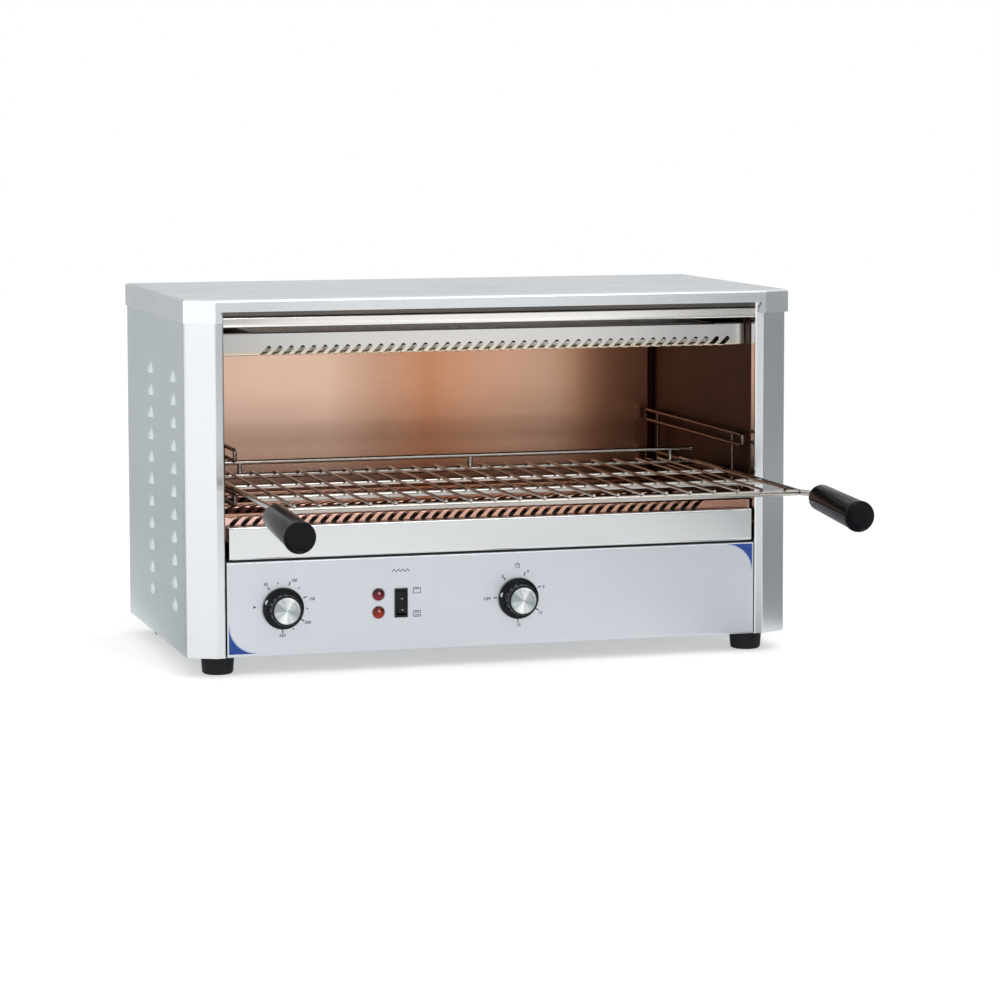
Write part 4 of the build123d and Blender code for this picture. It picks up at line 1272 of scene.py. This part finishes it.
deselectAll()
bpy.ops.mesh.primitive_plane_add(
    size=studio["floorSize"], location=(0, 0, studio["floorLevel"])
)
floor = bpy.context.object
floor.name = "studioFloor"
floorPaint, tree = newMaterial("paleFloor")
glow = addNode(
    tree, "ShaderNodeMapRange", {"To Max": studio["floorGlow"]}, {"Value": seenDirectly(tree)}
)
shader = addNode(
    tree,
    "ShaderNodeBsdfPrincipled",
    {
        "Base Color": toLinear(studio["floor"]),
        "Roughness": 0.9,
        "Emission Color": (1, 1, 1, 1),
        "Specular IOR Level": 0.1,
    },
    {"Emission Strength": glow},
)
addNode(tree, "ShaderNodeOutputMaterial", links={"Surface": shader})
floor.data.materials.append(floorPaint)

world = bpy.data.worlds.new("studioWorld")
bpy.context.scene.world = world
world.use_nodes = True
tree = world.node_tree
tree.nodes.clear()
level = addNode(
    tree, "ShaderNodeMapRange", {"To Min": studio["worldLight"]}, {"Value": seenDirectly(tree)}
)
background = addNode(
    tree, "ShaderNodeBackground", {"Color": (1, 1, 1, 1)}, {"Strength": level}
)
addNode(tree, "ShaderNodeOutputWorld", links={"Surface": background})

for name, box in studio["lamps"].items():
    light = bpy.data.lights.new(name, "AREA")
    light.shape = "SQUARE"
    light.size = box["size"]
    light.energy = box["power"]
    softbox = bpy.data.objects.new(name, light)
    bpy.context.collection.objects.link(softbox)
    softbox.location = box["from"]
    aim = Vector(studio["lampAim"]) - Vector(box["from"])
    softbox.rotation_euler = aim.to_track_quat("-Z", "Y").to_euler()


def stageGrey(piece, name, grey):
    # A grey surface for the metal to mirror, out of the picture and with no shadow of its own
    piece.name = name
    paint, tree = newMaterial(name + "Paint")
    shader = addNode(
        tree, "ShaderNodeBsdfPrincipled", {"Base Color": toLinear(grey), "Roughness": 0.9}
    )
    addNode(tree, "ShaderNodeOutputMaterial", links={"Surface": shader})
    piece.data.materials.append(paint)
    piece.visible_camera = False
    piece.visible_shadow = False
    piece.visible_diffuse = False


# Cards that stand round the set
for name, card in studio["cards"].items():
    deselectAll()
    bpy.ops.mesh.primitive_plane_add(size=1)
    screen = bpy.context.object
    screen.scale = (*card["size"], 1)
    around = math.radians(card["azimuth"])
    screen.location = (
        card["away"] * math.cos(around), card["away"] * math.sin(around), card["size"][1] / 2
    )
    screen.rotation_euler = (math.pi / 2, 0, around + math.pi / 2)
    stageGrey(screen, name, card["grey"])

# Runners on the floor, where only the posts' faces and strips and the left side mirror it
for name, runner in studio["runners"].items():
    deselectAll()
    bpy.ops.mesh.primitive_circle_add(
        vertices=len(runner["outline"]),
        radius=1,
        fill_type="NGON",
        location=(0, 0, studio["runnerLevel"]),
    )
    cloth = bpy.context.object
    bpy.ops.object.transform_apply(location=True)
    for vertex, (x, y) in zip(cloth.data.vertices, runner["outline"]):
        vertex.co.x, vertex.co.y = x, y
    stageGrey(cloth, name, runner["grey"])

cameraView = {
    "place": (-954.5, -3277.5, 553.3),
    "turn": -15.99,
    "dip": 5.08,
    "roll": -0.106,
    "pixelsPerMetreAtOneMetre": 3357.3,
    "middle": (481.6, 403.5),
    "frame": 1000,
}
lens = bpy.data.cameras.new("photoCamera")
camera = bpy.data.objects.new("photoCamera", lens)
bpy.context.collection.objects.link(camera)
lens.sensor_width = 36
lens.lens = cameraView["pixelsPerMetreAtOneMetre"] * lens.sensor_width / cameraView["frame"]
lens.shift_x = (cameraView["frame"] / 2 - cameraView["middle"][0]) / cameraView["frame"]
lens.shift_y = (cameraView["middle"][1] - cameraView["frame"] / 2) / cameraView["frame"]
lens.clip_end = 50
aimed = (
    Matrix.Rotation(math.radians(cameraView["turn"]), 4, "Z")
    @ Matrix.Rotation(math.radians(90 - cameraView["dip"]), 4, "X")
    @ Matrix.Rotation(math.radians(cameraView["roll"]), 4, "Z")
)
camera.matrix_world = Matrix.Translation(at(*cameraView["place"])) @ aimed
bpy.context.scene.camera = camera
bpy.context.scene.view_settings.view_transform = "Standard"
print("studio")
